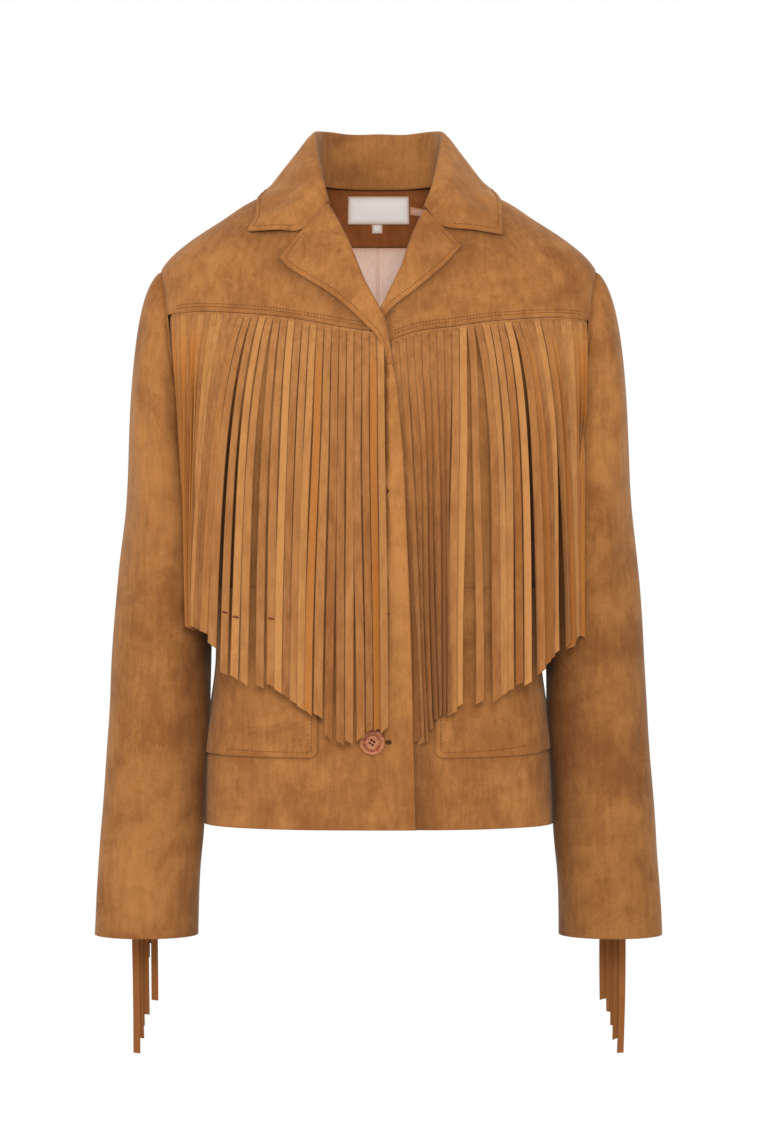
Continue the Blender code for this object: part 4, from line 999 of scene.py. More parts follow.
def spline(points, at):
    """Smooth curve through a few points, read at shares of their own count."""
    points = np.array(points, float)
    at = np.asarray(at) * (len(points) - 1)
    i = np.minimum(at.astype(int), len(points) - 2)
    t = (at - i).reshape(-1, *[1] * (points.ndim - 1))
    slope = np.gradient(points, axis=0)
    rise = points[i + 1] - points[i]
    bend = (1 - t) * (slope[i] - rise) - t * (slope[i + 1] - rise)
    return points[i] + t * rise + t * (1 - t) * bend


def grid_normals(sheet):
    """Cross product of a grid's two slopes."""
    return unit(np.cross(np.gradient(sheet, axis=0), np.gradient(sheet, axis=1)))


def collar_sheet():
    """Middle surface of the collar, from one gorge round the back to the other:
    splines along the collar, then splines across it from seam to outer edge."""
    halves = []
    along = np.concatenate([edged(70, 190)[:-3], [1.0]])
    across = edged(58, 118)
    for side in (RIGHT, LEFT):
        half = spline((COLLAR_END[side],) + COLLAR, along)
        half = spline(half.swapaxes(0, 1), across).swapaxes(0, 1)
        fall = across >= 0.46
        half[:, fall] = lifted(half[:, fall], COLLAR_CLEARANCE)
        halves.append(mirrored(half, side))
    sheet = np.concatenate([halves[0][:-1], halves[1][::-1]])
    normals = grid_normals(sheet)
    normals = normals * np.sign(normals[len(sheet) // 2, -1, 1])
    fall = smooth(0.5, 0.75, across)
    lift = fold_field(COLLAR_FOLDS, sheet[..., 0], sheet[..., 2]) + 0.45 * ripple(sheet, 71, 60)
    return sheet + (lift * fall)[..., None] * normals, normals


def lapel_sheet(side):
    """Middle surface of a lapel: for each level it runs from the inner turn round
    the roll, an arc of the roll's radius, to the outer edge of the leaf."""
    v = edged(56, 105)[:, None]
    roll, edge = [
        np.stack([column(table[side], axis, v) for axis in ("x", "z")], axis=-1)
        for table in (LAPEL_ROLL, LAPEL_EDGE)
    ]
    top, bottom = LAPEL_INSIDE[side]
    inside = top + (bottom - top) * v
    length = np.linalg.norm(edge - roll, axis=-1)
    across = unit(edge - roll)
    turn = np.radians(np.linspace(-90, 90, 15))[None]
    leaf = edged(44, 60)[4:][None]
    flat = np.linspace(1, 0.12, 8)[None]
    along = np.concatenate([
        inside * flat, 0.3 - ROLL_RADIUS * np.cos(turn) + 0 * v, np.maximum(leaf * length, 0.7 + leaf),
    ], axis=1)
    soft = 1.3 * np.sin(math.pi * leaf) * (1 - leaf) * (0.4 + 0.6 * v)
    out = np.concatenate([
        -1 - ROLL_RADIUS + 0 * inside * flat, -1 + ROLL_RADIUS * np.sin(turn) + 0 * v,
        -1 + ROLL_RADIUS + soft,
    ], axis=1)
    if side == RIGHT:
        out = out - LAPEL_SINKS * smooth(0.95, 1, v)
    spot = roll + across * along[..., None]
    x, z = spot[..., 0], spot[..., 1]
    sheet, body_normal = front_surface(side, x, z, out - tuck(side, x, z))
    normals = grid_normals(sheet)
    normals = normals * np.sign(np.sum(normals[:, -8] * body_normal[:, -8]))
    lift = 0.5 * ripple(sheet, 81 + side, 45) * smooth(20, 30, np.arange(sheet.shape[1]))
    return sheet + lift[..., None] * normals, normals


def pocket_out(side, phi, z):
    """How far a pocket's face stands off its front: a little more along its open
    top edge, most of all in the middle of it."""
    start, end = pocket_ends(side, z)
    u = np.clip((phi - start) / (end - start), 0, 1)
    v = (POCKET_TOP_Z - z) / (POCKET_TOP_Z - POCKET_BOTTOM_Z)
    return GAP + 2.5 + 1.4 * np.exp(-((v / 0.10) ** 2)) * np.sin(math.pi * u) ** 0.7


def pocket_ends(side, z):
    """Angles where a pocket starts and ends: it goes most of the way from the
    flank round to the side seam."""
    flank = phi_front(POCKET_OUTER_X + 0 * z, z)
    return phi_front(POCKET_INNER_X[side] + 0 * z, z), flank + 0.8 * (seam_phi(z, False) - flank)


def pocket_sheet(side):
    """Sheet of a patch pocket on its front, with a round inner corner: the square
    at the corner is drawn onto a quarter of a disc."""
    inner_x, radius = POCKET_INNER_X[side], POCKET_CORNER
    u = edged(66, 115)[None]
    v = edged(76, POCKET_TOP_Z - POCKET_BOTTOM_Z)[:, None]
    z = POCKET_TOP_Z + (POCKET_BOTTOM_Z - POCKET_TOP_Z) * v + 0 * u
    start, end = pocket_ends(side, z)
    phi = start + (end - start) * u
    x = torso_point(phi, z)[..., 0]
    rise = POCKET_RISE[side] * v * u**3
    p = 1 - (x - inner_x) / radius
    q = 1 - (z - POCKET_BOTTOM_Z) / radius
    corner = (p > 0) & (q > 0)
    p, q = np.clip(p, 0, 1), np.clip(q, 0, 1)
    x_round = inner_x + radius * (1 - p * np.sqrt(1 - q * q / 2))
    z_round = POCKET_BOTTOM_Z + radius * (1 - q * np.sqrt(1 - p * p / 2))
    phi = np.where(corner, phi_front(x_round, z_round), phi)
    z = np.where(corner, z_round, z) + rise
    return front_at(side, phi, z, pocket_out(side, phi, z))


def inner_sheet(z_top, z_bottom, rows, columns, gather=1.0):
    """Sheet on the inside of the back, under its outer face. Its columns draw
    together at the middle by the power gather."""
    z = z_top + (z_bottom - z_top) * edged(rows, z_top - z_bottom)[:, None]
    edge = outer_phi(z, True)
    t = 2 * edged(columns, 230) - 1
    u = 0.5 + INNER_SHARE / 2 * np.sign(t) * np.abs(t) ** gather
    return back_at(-(edge + (math.pi - 2 * edge) * u), z + 0 * u, -INNER_DEPTH)


def inset(points, normals, distance):
    """Line on a sheet at a distance from its last column, row by row."""
    run = runs(points)["right"]
    j = np.maximum((run > distance).sum(axis=1) - 1, 0)
    row = np.arange(len(points))
    share = ((run[row, j] - distance) / np.maximum(run[row, j] - run[row, j + 1], 1e-6))[:, None]
    line = points[row, j] + share * (points[row, j + 1] - points[row, j])
    return line, normals[row, j]


def inset_row(points, normals, distance, first):
    """Line on a sheet at a distance from its last row, from a column to the last."""
    line, normal = inset(points.swapaxes(0, 1), normals.swapaxes(0, 1), distance)
    return line[first:], normal[first:]


def stitch_line(line, normals, trim=(0.0, 0.0)):
    """Frames of the stitches along a line: centre, direction and normal at even
    steps of its length."""
    step = np.linalg.norm(np.diff(line, axis=0), axis=-1)
    run = np.concatenate([[0], np.cumsum(step)])
    pitch = (sizes().stitch_length + sizes().stitch_gap) / MM
    count = int((run[-1] - sum(trim)) / pitch)
    at = trim[0] + (np.arange(count) + 0.5) * pitch

    def read(values, where):
        return np.stack([np.interp(where, run, values[:, i]) for i in range(3)], axis=-1)

    centre = read(line, at)
    along = unit(read(line, at + 0.8) - read(line, at - 0.8))
    normal = unit(read(normals, at))
    return centre, along, normal


def stitches(name, frames):
    """Row of raised stitches: each is a four-sided tube in four rings along its
    direction, sunk at both ends and proud in the middle."""
    centre, along, normal = [np.concatenate(part) for part in zip(*frames)]
    across = np.cross(along, normal)
    length, radius = sizes().stitch_length / MM, sizes().thread_radius / MM
    ring_at = np.array([-0.5, -0.28, 0.28, 0.5]) * length
    ring_size = np.array([0.4, 1.0, 1.0, 0.4]) * radius
    ring_up = np.array([-0.55, 0.55, 0.55, -0.55]) * radius
    corner = np.radians([45, 135, 225, 315])
    points = (
        centre[:, None, None]
        + along[:, None, None] * ring_at[:, None, None]
        + normal[:, None, None] * (ring_up[:, None] + ring_size[:, None] * np.sin(corner))[..., None]
        + across[:, None, None] * (ring_size[:, None] * np.cos(corner))[..., None]
    )
    side = grid_quads(4, 4, wrap=True)
    one = np.concatenate([side, [[3, 2, 1, 0]], [[12, 13, 14, 15]]])
    quads = (one[None] + np.arange(len(centre))[:, None, None] * 16).reshape(-1, 4)
    return make_piece(name, points, quads, "thread", "suede")


def hang_front_y(x, z):
    """Foremost y of the body and the sleeve at a place seen from the front."""
    x, z = np.broadcast_arrays(np.asarray(x, float), np.asarray(z, float))
    width = column(TORSO, "half_width", z)
    body = np.where(np.abs(x) < width, torso_point(phi_front(x, z), z)[..., 1], 50.0)
    inner_x, outer_x, front_y, back_y = section(SLEEVE, z)
    ratio = (x - (inner_x + outer_x) / 2) / ((outer_x - inner_x) / 2)
    arc = np.sqrt(np.maximum(0, 1 - ratio**2))
    arm = (front_y + back_y) / 2 - (back_y - front_y) / 2 * arc
    arm = np.where((np.abs(ratio) < 1) & (z < -150), arm, 50.0)
    return np.minimum(body, arm)


def chest_roots(side):
    """Distances from the middle of the strand roots, even along the seam."""
    first, last = CHEST_FRINGE_X[side]
    x = np.linspace(first, last, 200)
    z = seam_z(side, x)
    points = torso_point(phi_front(x, z), z)
    run = np.concatenate([[0], np.cumsum(np.linalg.norm(np.diff(points, axis=0), axis=1))])
    count = CHEST_STRANDS[side]
    pitch = run[-1] / count
    return np.interp((np.arange(count) + 0.5) * pitch, run, x), pitch


def strand_mesh(centre, across, face, width, thickness, cut):
    """Points, quads and edge marks of strands that hang in stations. The section
    is a flat bar of eight points and the last one is cut aslant."""
    shape = np.array([(-1, 0), (-0.86, 1), (0, 1), (0.86, 1), (1, 0), (0.86, -1), (0, -1), (-0.86, -1)])
    strands, stations = centre.shape[:2]
    side, deep = shape[:, 0], shape[:, 1]
    cup = 0.45 * (side**2 - 0.5) * (np.abs(deep) > 0)
    points = (
        centre[:, :, None]
        + across[:, :, None] * (side * width[..., None] / 2)[..., None]
        + face[:, :, None] * (deep * thickness / 2 + cup)[..., None]
    )
    points[:, -1, :, 2] += cut[:, None] * side / 2
    ring = grid_quads(stations, 8, wrap=True)
    first, last = np.array([[0, 1, 2, 3], [0, 3, 4, 7], [4, 5, 6, 7]]), (stations - 1) * 8
    one = np.concatenate([ring, first[:, ::-1], first + last])
    quads = (one[None] + np.arange(strands)[:, None, None] * stations * 8).reshape(-1, 4)
    edge = np.broadcast_to(np.where(np.abs(side) > 0.95, 1.0, 0.0), points.shape[:3])
    points = points.reshape(-1, 3)
    return points, faced_out(points, quads), edge.ravel()


def strip_mesh(middle, normal, thickness):
    """Points and quads of a flat strip with a grid of places on both its faces."""
    rows, columns = middle.shape[:2]
    points = np.concatenate([middle + normal * thickness / 2, middle - normal * thickness / 2])
    quads, count = grid_quads(rows, columns), rows * columns
    quads = np.concatenate([quads, quads[:, ::-1] + count, rim_quads(rows, columns)])
    points = points.reshape(-1, 3)
    return points, faced_out(points, quads)


def under_yoke(side, x, z):
    """Places of a chest strip on the front under its yoke, and normals there."""
    phi = phi_front(x, z)
    low = FRINGE_DIP - STRIP_CLEARANCE - 0.6 + body_drop(side, x, z)
    normal = torso_normal(phi, z)
    return torso_point(phi, z) - low[..., None] * normal, normal


def changed(table, count):
    """Columns of a table of changes, as one value for each strand."""
    rows = np.array(table[1], float)
    data = np.zeros((count, rows.shape[1] - 1))
    data[rows[:, 0].astype(int)] = rows[:, 1:]
    return data.T


def chest_strands(side, stations=30):
    """Frames of the chest strands: from the strip each leans to its own tip and
    then hangs straight, in front of whatever lies behind it. Where they crowd,
    they turn like the slats of a blind."""
    roots, pitch = chest_roots(side)
    count = len(roots)
    dice = np.random.default_rng(300 + side)
    turn, off, raw, tone = changed(STRAND_CHANGES[side], count)
    turn, off = turn + dice.normal(0, 3, count), off + dice.uniform(0, 0.25, count)
    tips = column(CHEST_TIP_X[side], "x", np.arange(count)) + dice.normal(0, 0.2, count)
    lean = tips - roots
    reach = np.interp(np.arange(count), *np.array(CHEST_REACH[side][1]).T)[:, None]
    root_z = seam_z(side, roots) - HALF_GAP - CHEST_STRIP_HEIGHT + 3.0
    tip_z = column(CHEST_TIPS[side], "z", tips) + dice.normal(0, 0.8, count)
    share = np.linspace(0, 1, 140)
    z = root_z[:, None] + (tip_z - root_z)[:, None] * share
    drop = root_z[:, None] - z
    taken = (1 - np.exp(-drop / reach)) / (1 - np.exp(-drop[:, -1:] / reach))
    sway = dice.normal(0, 0.8, count)[:, None] * np.sin(drop / 70 + dice.uniform(0, 6, count)[:, None])
    x = roots[:, None] + lean[:, None] * taken + sway * smooth(20, 120, drop)
    hang = STRAND_HANG + off[:, None] + 0 * drop
    if side == LEFT:
        from_lap = x + edge_x(RIGHT, z)
        hang = STRAND_HANG_AT_LAP + (hang - STRAND_HANG_AT_LAP) * smooth(0, LAP_CLEARS, from_lap)
    clear = STRAND_REST + (hang - STRAND_REST) * smooth(*STRAND_EASE, drop)
    close = hang_front_y(x, z) - clear
    y = np.minimum.accumulate(close, axis=1)
    if side == LEFT:
        y = close + (y - close) * smooth(0, LAP_CLEARS, from_lap)
    seat = under_yoke(side, x, z)[0][..., 1]
    y = y + (seat - y) * (1 - smooth(0.0, 6.0, drop))
    at = np.concatenate([[0, 0.011, 0.03], np.linspace(0.06, 1, stations - 3)])
    pick = at * (len(share) - 1)
    cell = np.minimum(pick.astype(int), len(share) - 2)
    part = pick - cell
    centre = np.stack([v[:, cell] * (1 - part) + v[:, cell + 1] * part for v in (x, y, z)], axis=-1)
    across = np.gradient(centre, axis=0)
    across[:, :, 2] = 0
    space = np.linalg.norm(across, axis=-1)
    across = unit(across)
    face = unit(np.cross(across, np.array([0.0, 0.0, 1.0])))
    face = face * -np.sign(face[..., 1:2])
    flare = np.clip(dice.normal(0.17, 0.07, (count, 1)), 0.06, 0.34)
    width = pitch * (0.985 + flare * smooth(0.05, 0.7, at)) + 0 * space
    crowd = np.arcsin(np.clip(SLAT_DEPTH / space, 0, 0.9)) * smooth(0.6, -0.5, space - width)
    for _ in range(2):
        crowd[1:-1] = (crowd[:-2] + 2 * crowd[1:-1] + crowd[2:]) / 4
    loose = np.radians(turn)[:, None] * smooth(0.02, 0.34, at)
    twist = crowd * smooth(0.02, 0.2, at) + loose * (1 + 0.2 * np.sin(at * 5 + turn[:, None]))
    cos, sin = np.cos(twist)[..., None], np.sin(twist)[..., None]
    cut = 4.5 + dice.normal(0, 1.0, count)
    if side == RIGHT:
        cut[:4] = -cut[:4]
    looks = tone + dice.uniform(0.1, 0.9, count), raw
    return centre, across * cos + face * sin, face * cos - across * sin, width, cut, looks


def fringe_piece(node, side, strands, strip, tone, raw):
    """Strands and their strip as one piece, with the marks their suede reads."""
    points, quads, edge = strands
    # Darker edges, varied strand by strand: partly the cut edges' own colour, partly painted shadow lines
    # between strands.
    edge = edge * (0.35 + 0.65 * (7.3 * tone % 1))
    every, quads = joined([(points, quads), strip])
    marks = {
        mark: np.concatenate([values, np.full(len(strip[0]), on_strip)])
        for mark, values, on_strip in (("edge", edge, 0.0), ("tone", tone, 0.5), ("raw", raw, 0.0))
    }
    return make_piece(
        f"{node}_strands", mirrored(every, side), quads, "fringe", "fringe_suede", [node], marks
    )


def chest_fringe(side):
    """Chest fringe: the strands and the strip under the yoke that carries them."""
    centre, broad, thick, width, cut, (tone, raw) = chest_strands(side)
    wall = sizes().strand_thickness / MM
    x = np.linspace(*CHEST_FRINGE_X[side], 150)
    z = seam_z(side, x) - HALF_GAP - np.array([0, 0.5, 1.6, 3.2, 4.6, 5.4])[:, None]
    strip = strip_mesh(*under_yoke(side, x, z), wall)
    at = np.linspace(0, 1, centre.shape[1])
    raw = raw[:, None] * smooth(0.02, 0.2, at)
    tone = tone[:, None] - np.minimum(tone[:, None] - 0.42, 0) * (1 - smooth(0.1, 0.62, at))
    return fringe_piece(
        f"chest_fringe_{WORD[side]}", side, strand_mesh(centre, broad, thick, width, wall, cut),
        strip, np.repeat(tone.ravel(), 8), np.repeat(raw.ravel(), 8),
    )


def sleeve_fringe(side, stations=16):
    """Fringe down the back seam of a sleeve: a strip on the seam and strands that
    bend over from it, fall, and drift backward and inward as they go."""
    sheet, _ = sleeve_sheet(side)
    seam = mirrored(sheet[:, int(round(sheet.shape[1] * SLEEVE_SEAM_SHARE))], side)[::-1]
    top, bottom = SLEEVE_STRIP_Z
    wall = sizes().strand_thickness / MM

    def seam_at(z):
        return [np.interp(z, seam[:, 2], seam[:, axis]) for axis in (0, 1)]

    height = np.linspace(top, bottom, 120)[:, None]
    x, y = seam_at(height)
    across = np.array([-3.4, -1.7, 0, 1.7, 3.4])
    places = x + across, y + SLEEVE_STRIP_CLEARANCE + wall / 2, height
    middle = np.stack(np.broadcast_arrays(*places), axis=-1)
    strip = strip_mesh(middle, np.array([0.0, 1.0, 0.0]), wall)
    dice = np.random.default_rng(500 + side)
    count = SLEEVE_STRANDS
    levels = np.linspace(top - 4, bottom + 2, count)
    x, y = seam_at(levels)
    order = (count - 1 - np.arange(count)) % len(SLEEVE_STRAND_SHIFT)
    inward = np.array(SLEEVE_STRAND_SHIFT)[order] + dice.normal(0, 0.5, count)
    share = np.concatenate([[0, 0.012, 0.03, 0.06, 0.1], np.linspace(0.16, 1, stations - 5)])[None]
    fall = share * (SLEEVE_STRAND_LENGTH + dice.normal(0, 2.0, (count, 1)))
    out = SLEEVE_FRINGE_PUSH * (1 - np.exp(-fall / 6)) + SLEEVE_FRINGE_FAN * fall
    x = x[:, None] - inward[:, None] * smooth(4, 30, fall)
    x = x + dice.normal(0, 0.6, (count, 1)) * np.sin(fall / 40)
    y = y[:, None] + SLEEVE_STRIP_CLEARANCE + wall * 0.6 + out
    centre = np.stack([x, y, levels[:, None] - fall * (1 - 0.3 * np.exp(-fall / 5))], axis=-1)
    along = unit(np.gradient(centre, axis=1))
    turn = np.radians(dice.normal(0, 7, (count, 1)) * smooth(0, 0.3, share))[..., None]
    flat = np.array([1.0, 0.0, 0.0])
    other = unit(np.cross(along, flat))
    strands = strand_mesh(
        centre, flat * np.cos(turn) + other * np.sin(turn), other * np.cos(turn) - flat * np.sin(turn),
        np.full(fall.shape, SLEEVE_STRAND_WIDTH), wall, dice.normal(0, 1.5, count),
    )
    # A random tone for each strand, all drawn dark: partly painted shade, as this fringe hangs behind the
    # sleeve.
    tone = np.repeat(dice.uniform(-0.45, -0.1, count), stations * 8)
    return fringe_piece(
        f"sleeve_fringe_{WORD[side]}", side, strands, strip, tone, np.full(tone.shape, 0.15)
    )


def disc_frame(number):
    """Centre and axes of a button, lying on the right front."""
    z = BUTTON_Z[number]
    point, normal = front_surface(RIGHT, -BUTTON_X, z, 1.0)
    level = unit(np.cross([0.0, 0.0, 1.0], normal))
    flat = level * math.cos(BUTTON_TURN) + np.cross(normal, level) * math.sin(BUTTON_TURN)
    return point, flat, np.cross(normal, flat), normal


def ladder(sides):
    """Quads that close a ring with an even number of sides, in rungs across it."""
    i = np.arange(sides // 2 - 1)
    return np.stack([i, i + 1, sides - 2 - i, sides - 1 - i], axis=-1)


def button(number):
    """Four-hole button: a turned profile of rim, well and rounded edge, with the four holes sunk into it
    as smooth pits, darkened with painted shade."""
    radius = sizes().button_radius / MM
    centre, flat, up, normal = disc_frame(number)
    share = np.concatenate([
        np.linspace(0, 0.42, 34)[1:], np.linspace(0.45, 0.86, 12), np.linspace(0.88, 1, 10),
    ])[:, None]
    turn = np.arange(BUTTON_SIDES) * 2 * math.pi / BUTTON_SIDES
    x, y = share * radius * np.cos(turn), share * radius * np.sin(turn)
    well = smooth(0.50, 0.58, share) * (1 - smooth(0.60, 0.68, share))
    round_off = 1 - np.sqrt(1 - np.clip((share - 0.86) / 0.14, 0, 1) ** 2)
    height = BUTTON_HEIGHT + smooth(0.66, 0.76, share) - 0.45 * well - 1.5 * round_off + 0 * turn
    # Painted shade in the well; the pits below add more.
    dark = 0.35 * np.exp(-(((share - 0.58) / 0.05) ** 2)) + 0 * turn
    pale = 0.6 * sum(np.exp(-(((share - ring) / 0.022) ** 2)) for ring in BUTTON_RINGS)
    pale = pale + 0.45 * (1 - smooth(0.42, 0.54, share)) + 0 * turn
    for quarter in range(4):
        angle = math.pi / 4 + quarter * math.pi / 2
        away = np.hypot(x - HOLE_OUT * math.cos(angle), y - HOLE_OUT * math.sin(angle))
        pit = 1 - smooth(*HOLE_EDGE, away)
        height, dark = height - HOLE_DEPTH * pit, dark + pit
    low_r = radius * np.array([1.0, 0.96, 0.86, 0.5, 0.12])[:, None]
    low_z = np.array([1.2, 0.5, 0.15, 0.0, 0.0])[:, None] + 0 * turn
    sheet = np.concatenate([
        np.stack([x, y, height], axis=-1),
        np.stack([low_r * np.cos(turn), low_r * np.sin(turn), low_z], axis=-1),
    ])
    world = centre + sheet[..., :1] * flat + sheet[..., 1:2] * up + sheet[..., 2:] * normal
    cap = ladder(BUTTON_SIDES)
    ends = [cap[:, ::-1], cap + (len(sheet) - 1) * BUTTON_SIDES]
    quads = np.concatenate([grid_quads(len(sheet), BUTTON_SIDES, wrap=True), *ends])
    dark = np.minimum(dark, 1)
    # The shade mark carries the painted shade of the well and the holes.
    marks = {"shade": dark, "edge": pale * (1 - dark)}
    marks = {name: np.concatenate([mark, 0 * low_z]) for name, mark in marks.items()}
    node = f"button_{number + 1}"
    return make_piece(f"{node}_turned", world, quads, "button", "button_resin", [node], marks)


def lining_folds(sheet, normals):
    """The lining's soft hang: a pleat in the middle whose one side laps over the
    other, and a few long folds beside it."""
    x, z = sheet[..., 0], sheet[..., 2]
    down = smooth(FACING_BOTTOM_Z - 1, FACING_BOTTOM_Z - 40, z)
    lap = smooth(-3.0, -0.3, x) * (1 - smooth(0.1, 0.9, x)) * 1.5
    soft = 1.0 * ripple(sheet * np.array([1.0, 1.0, 0.16]), 91, 42) - 0.8
    depth = lap * (0.35 + 0.65 * down) - soft * down
    return sheet - np.maximum(depth, 0)[..., None] * normals


def tube(path, normals, radius, flat):
    """Points and quads of a cord along a path: ellipses of eight points, whose
    flatter way lies along the normal."""
    across = unit(np.cross(unit(np.gradient(path, axis=0)), normals))
    turn = np.radians(np.arange(0, 360, 45))
    size = np.broadcast_to(np.asarray(radius, float), (len(path),))[:, None, None]
    points = (
        path[:, None]
        + across[:, None] * np.cos(turn)[:, None] * size
        + normals[:, None] * np.sin(turn)[:, None] * size * flat
    )
    cap = ladder(8)
    ends = [cap[:, ::-1], cap + (len(path) - 1) * 8]
    return points.reshape(-1, 3), np.concatenate([grid_quads(len(path), 8, wrap=True), *ends])


def buttonhole(number):
    """Keyhole buttonhole beside a button: a corded loop with a round eye, with
    the cord's thread wound round it in close turns."""
    z = BUTTON_Z[number]
    eye = np.radians(np.linspace(-150, 150, 60))
    leg = np.linspace(0, 1, 70)
    eye_x = BUTTONHOLE_EYE_X[number] + EYE_RADIUS * np.cos(eye)
    eye_z = EYE_RADIUS * np.sin(eye)
    leg_x, leg_z = HOLE_START_X + (eye_x[0] - HOLE_START_X) * leg[:-1], eye_z[0] + 0 * leg[:-1]
    x = np.concatenate([leg_x, eye_x, leg_x[::-1]])
    h = np.concatenate([leg_z, eye_z, -leg_z])
    point, normal = front_surface(RIGHT, -x, z + h, 0.15)
    wound = CORD_RADIUS + 0.10 * np.sin(np.arange(len(x)) * 2.1)
    points, quads = tube(point, normal, wound, 0.8)
    return make_piece(f"buttonhole_{number + 1}", points, quads, "thread", "suede")


def slit(number):
    """Dark opening of a buttonhole, a thin strip that ends in a round eye, painted with the shade inside
    the cut.
    """
    z = BUTTON_Z[number]
    u = np.linspace(0, 1, 34)
    x = HOLE_START_X + (BUTTONHOLE_EYE_X[number] + 1.4 - HOLE_START_X) * u
    half = 0.35 + 1.15 * np.sqrt(np.clip(1 - ((x - BUTTONHOLE_EYE_X[number]) / 1.42) ** 2, 0, 1))
    half[-1] = 0.05
    corners = ((-1, 0.08), (1, 0.08), (1, -0.1), (-1, -0.1))
    sheet = [front_surface(RIGHT, -x, z + edge * half, out)[0] for edge, out in corners]
    caps = np.array([[3, 2, 1, 0], [132, 133, 134, 135]])
    quads = np.concatenate([grid_quads(len(u), 4, wrap=True), caps])
    return make_piece(f"buttonhole_slit_{number + 1}", np.stack(sheet, axis=1), quads, "slit", "suede")


def button_thread(number):
    """Two bars of thread that cross the middle of a button from hole to hole."""
    centre, flat, up, normal = disc_frame(number)
    t = np.linspace(-1, 1, 13)[:, None]
    height = BUTTON_HEIGHT - 0.9 + 1.15 * np.sqrt(np.clip(1 - t**6, 0, 1))
    bars = []
    for y in (-1.55, 1.55):
        path = centre + 1.65 * t * flat + y * up + height * normal
        bars.append(tube(path, np.broadcast_to(normal, path.shape), 0.3, 0.8))
    return make_piece(f"button_thread_{number + 1}", *joined(bars), "thread", "button_resin")


def yoke_stitches(side):
    """Two rows of stitches along the yoke just above its seam."""
    x = np.linspace(*YOKE_STITCHES_X[side], 400)
    rows = []
    for above in YOKE_STITCHES_UP:
        z = seam_z(side, x) + above
        keep = roll_x(side, z) + 2.5 < x
        rows.append(stitch_line(*front_surface(side, x[keep], z[keep]), (1.0, 1.5)))
    return stitches(f"yoke_stitches_{WORD[side]}", rows)


def pocket_stitches(side):
    """Row of stitches down a pocket's inner side, round its corner and along its
    bottom."""
    inner_x, low = POCKET_INNER_X[side] + POCKET_STITCHED_IN, POCKET_BOTTOM_Z + POCKET_STITCHED_IN
    bend = np.radians(np.linspace(180, 270, 14))
    radius = POCKET_CORNER - 3.4
    turn_x, turn_z = inner_x + radius * (1 + np.cos(bend)), low + radius * (1 + np.sin(bend))
    x = np.concatenate([np.full(120, inner_x), turn_x, np.linspace(turn_x[-1] + 1, 134, 90)])
    z = np.concatenate([np.linspace(POCKET_TOP_Z - 1.0, turn_z[0] + 1, 120), turn_z, np.full(90, low)])
    phi = phi_front(x, z)
    share = np.clip((x - inner_x) / (140 - inner_x), 0, 1)
    z = z + POCKET_RISE[side] * share**3 * (POCKET_TOP_Z - z) / (POCKET_TOP_Z - POCKET_BOTTOM_Z)
    line, normal = front_at(side, phi, z, pocket_out(side, phi, z))
    return stitches(f"pocket_stitches_{WORD[side]}", [stitch_line(line, normal, (0.5, 0.5))])


def edge_stitches(name, sheet, normals, first, ends):
    """Row of stitches inside the free edges of a collar or lapel: along its last
    column, and from a column on along the rows at its given ends."""
    rows = [stitch_line(*inset(sheet, normals, STITCHED_IN), (5.0, 5.0))]
    for step in ends:
        line = inset_row(sheet[::step], normals[::step], STITCHED_IN, first)
        rows.append(stitch_line(*line, (1.0, STITCHED_IN)))
    return stitches(name, rows)


def pen_marks():
    """Short reddish pen strokes on the faces of three strands."""
    centre, broad, thick, width, _, _ = chest_strands(RIGHT)
    proud = sizes().strand_thickness / MM / 2 + 0.45
    t = np.linspace(-0.5, 0.5, 9)
    strokes = []
    for x, z, length, tilt in PEN_MARKS[1]:
        at = [np.interp(z, row[::-1, 2], row[::-1, 0]) for row in centre]
        k = int(np.argmin(np.abs(np.array(at) - x)))
        here, along, face = [
            np.array([np.interp(z, centre[k, ::-1, 2], v[k, ::-1, i]) for i in range(3)])
            for v in (centre, broad, thick)
        ]
        path = here + face * proud + along * (t * min(length, width[k, 0] - 0.8))[:, None]
        path[:, 2] += t * tilt
        ends = 0.95 * (1 - (2 * t) ** 4 * 0.6)
        strokes.append(tube(path, np.broadcast_to(face, path.shape), ends, 0.14))
    points, quads = joined(strokes)
    return make_piece("pen_marks", mirrored(points, RIGHT), quads, "ink", "fringe_suede")


def tree_node(tree, kind, **settings):
    """New node with some of its settings."""
    node = tree.nodes.new(kind)
    for name, value in settings.items():
        setattr(node, name, value)
    return node


def put(socket, value):
    """Link an input to an output, or set it to a value."""
    if isinstance(value, bpy.types.NodeSocket):
        socket.id_data.links.new(value, socket)
    else:
        socket.default_value = value


def set_inputs(node, **values):
    """Put values into a node's inputs by name, with _ for a space."""
    for name, value in values.items():
        put(node.inputs[name.replace("_", " ")], value)


def noise(tree, where, scale, detail=3.0, rough=0.55, warp=0.0):
    """Noise at a scale in features a metre; where is a vector socket."""
    node = tree_node(tree, "ShaderNodeTexNoise", noise_dimensions="3D")
    set_inputs(node, Vector=where, Scale=scale, Detail=detail, Roughness=rough, Distortion=warp)
    return node.outputs["Fac"]


def worked(tree, operation, *values, **settings):
    """Result of a sum over sockets or numbers."""
    node = tree_node(tree, "ShaderNodeMath", operation=operation, **settings)
    for socket, value in zip(node.inputs, values):
        put(socket, value)
    return node.outputs[0]


def sums(tree, parts):
    """Weighted sum of sockets."""
    total = 0.0
    for socket, weight in parts:
        total = worked(tree, "MULTIPLY_ADD", socket, weight, total)
    return total


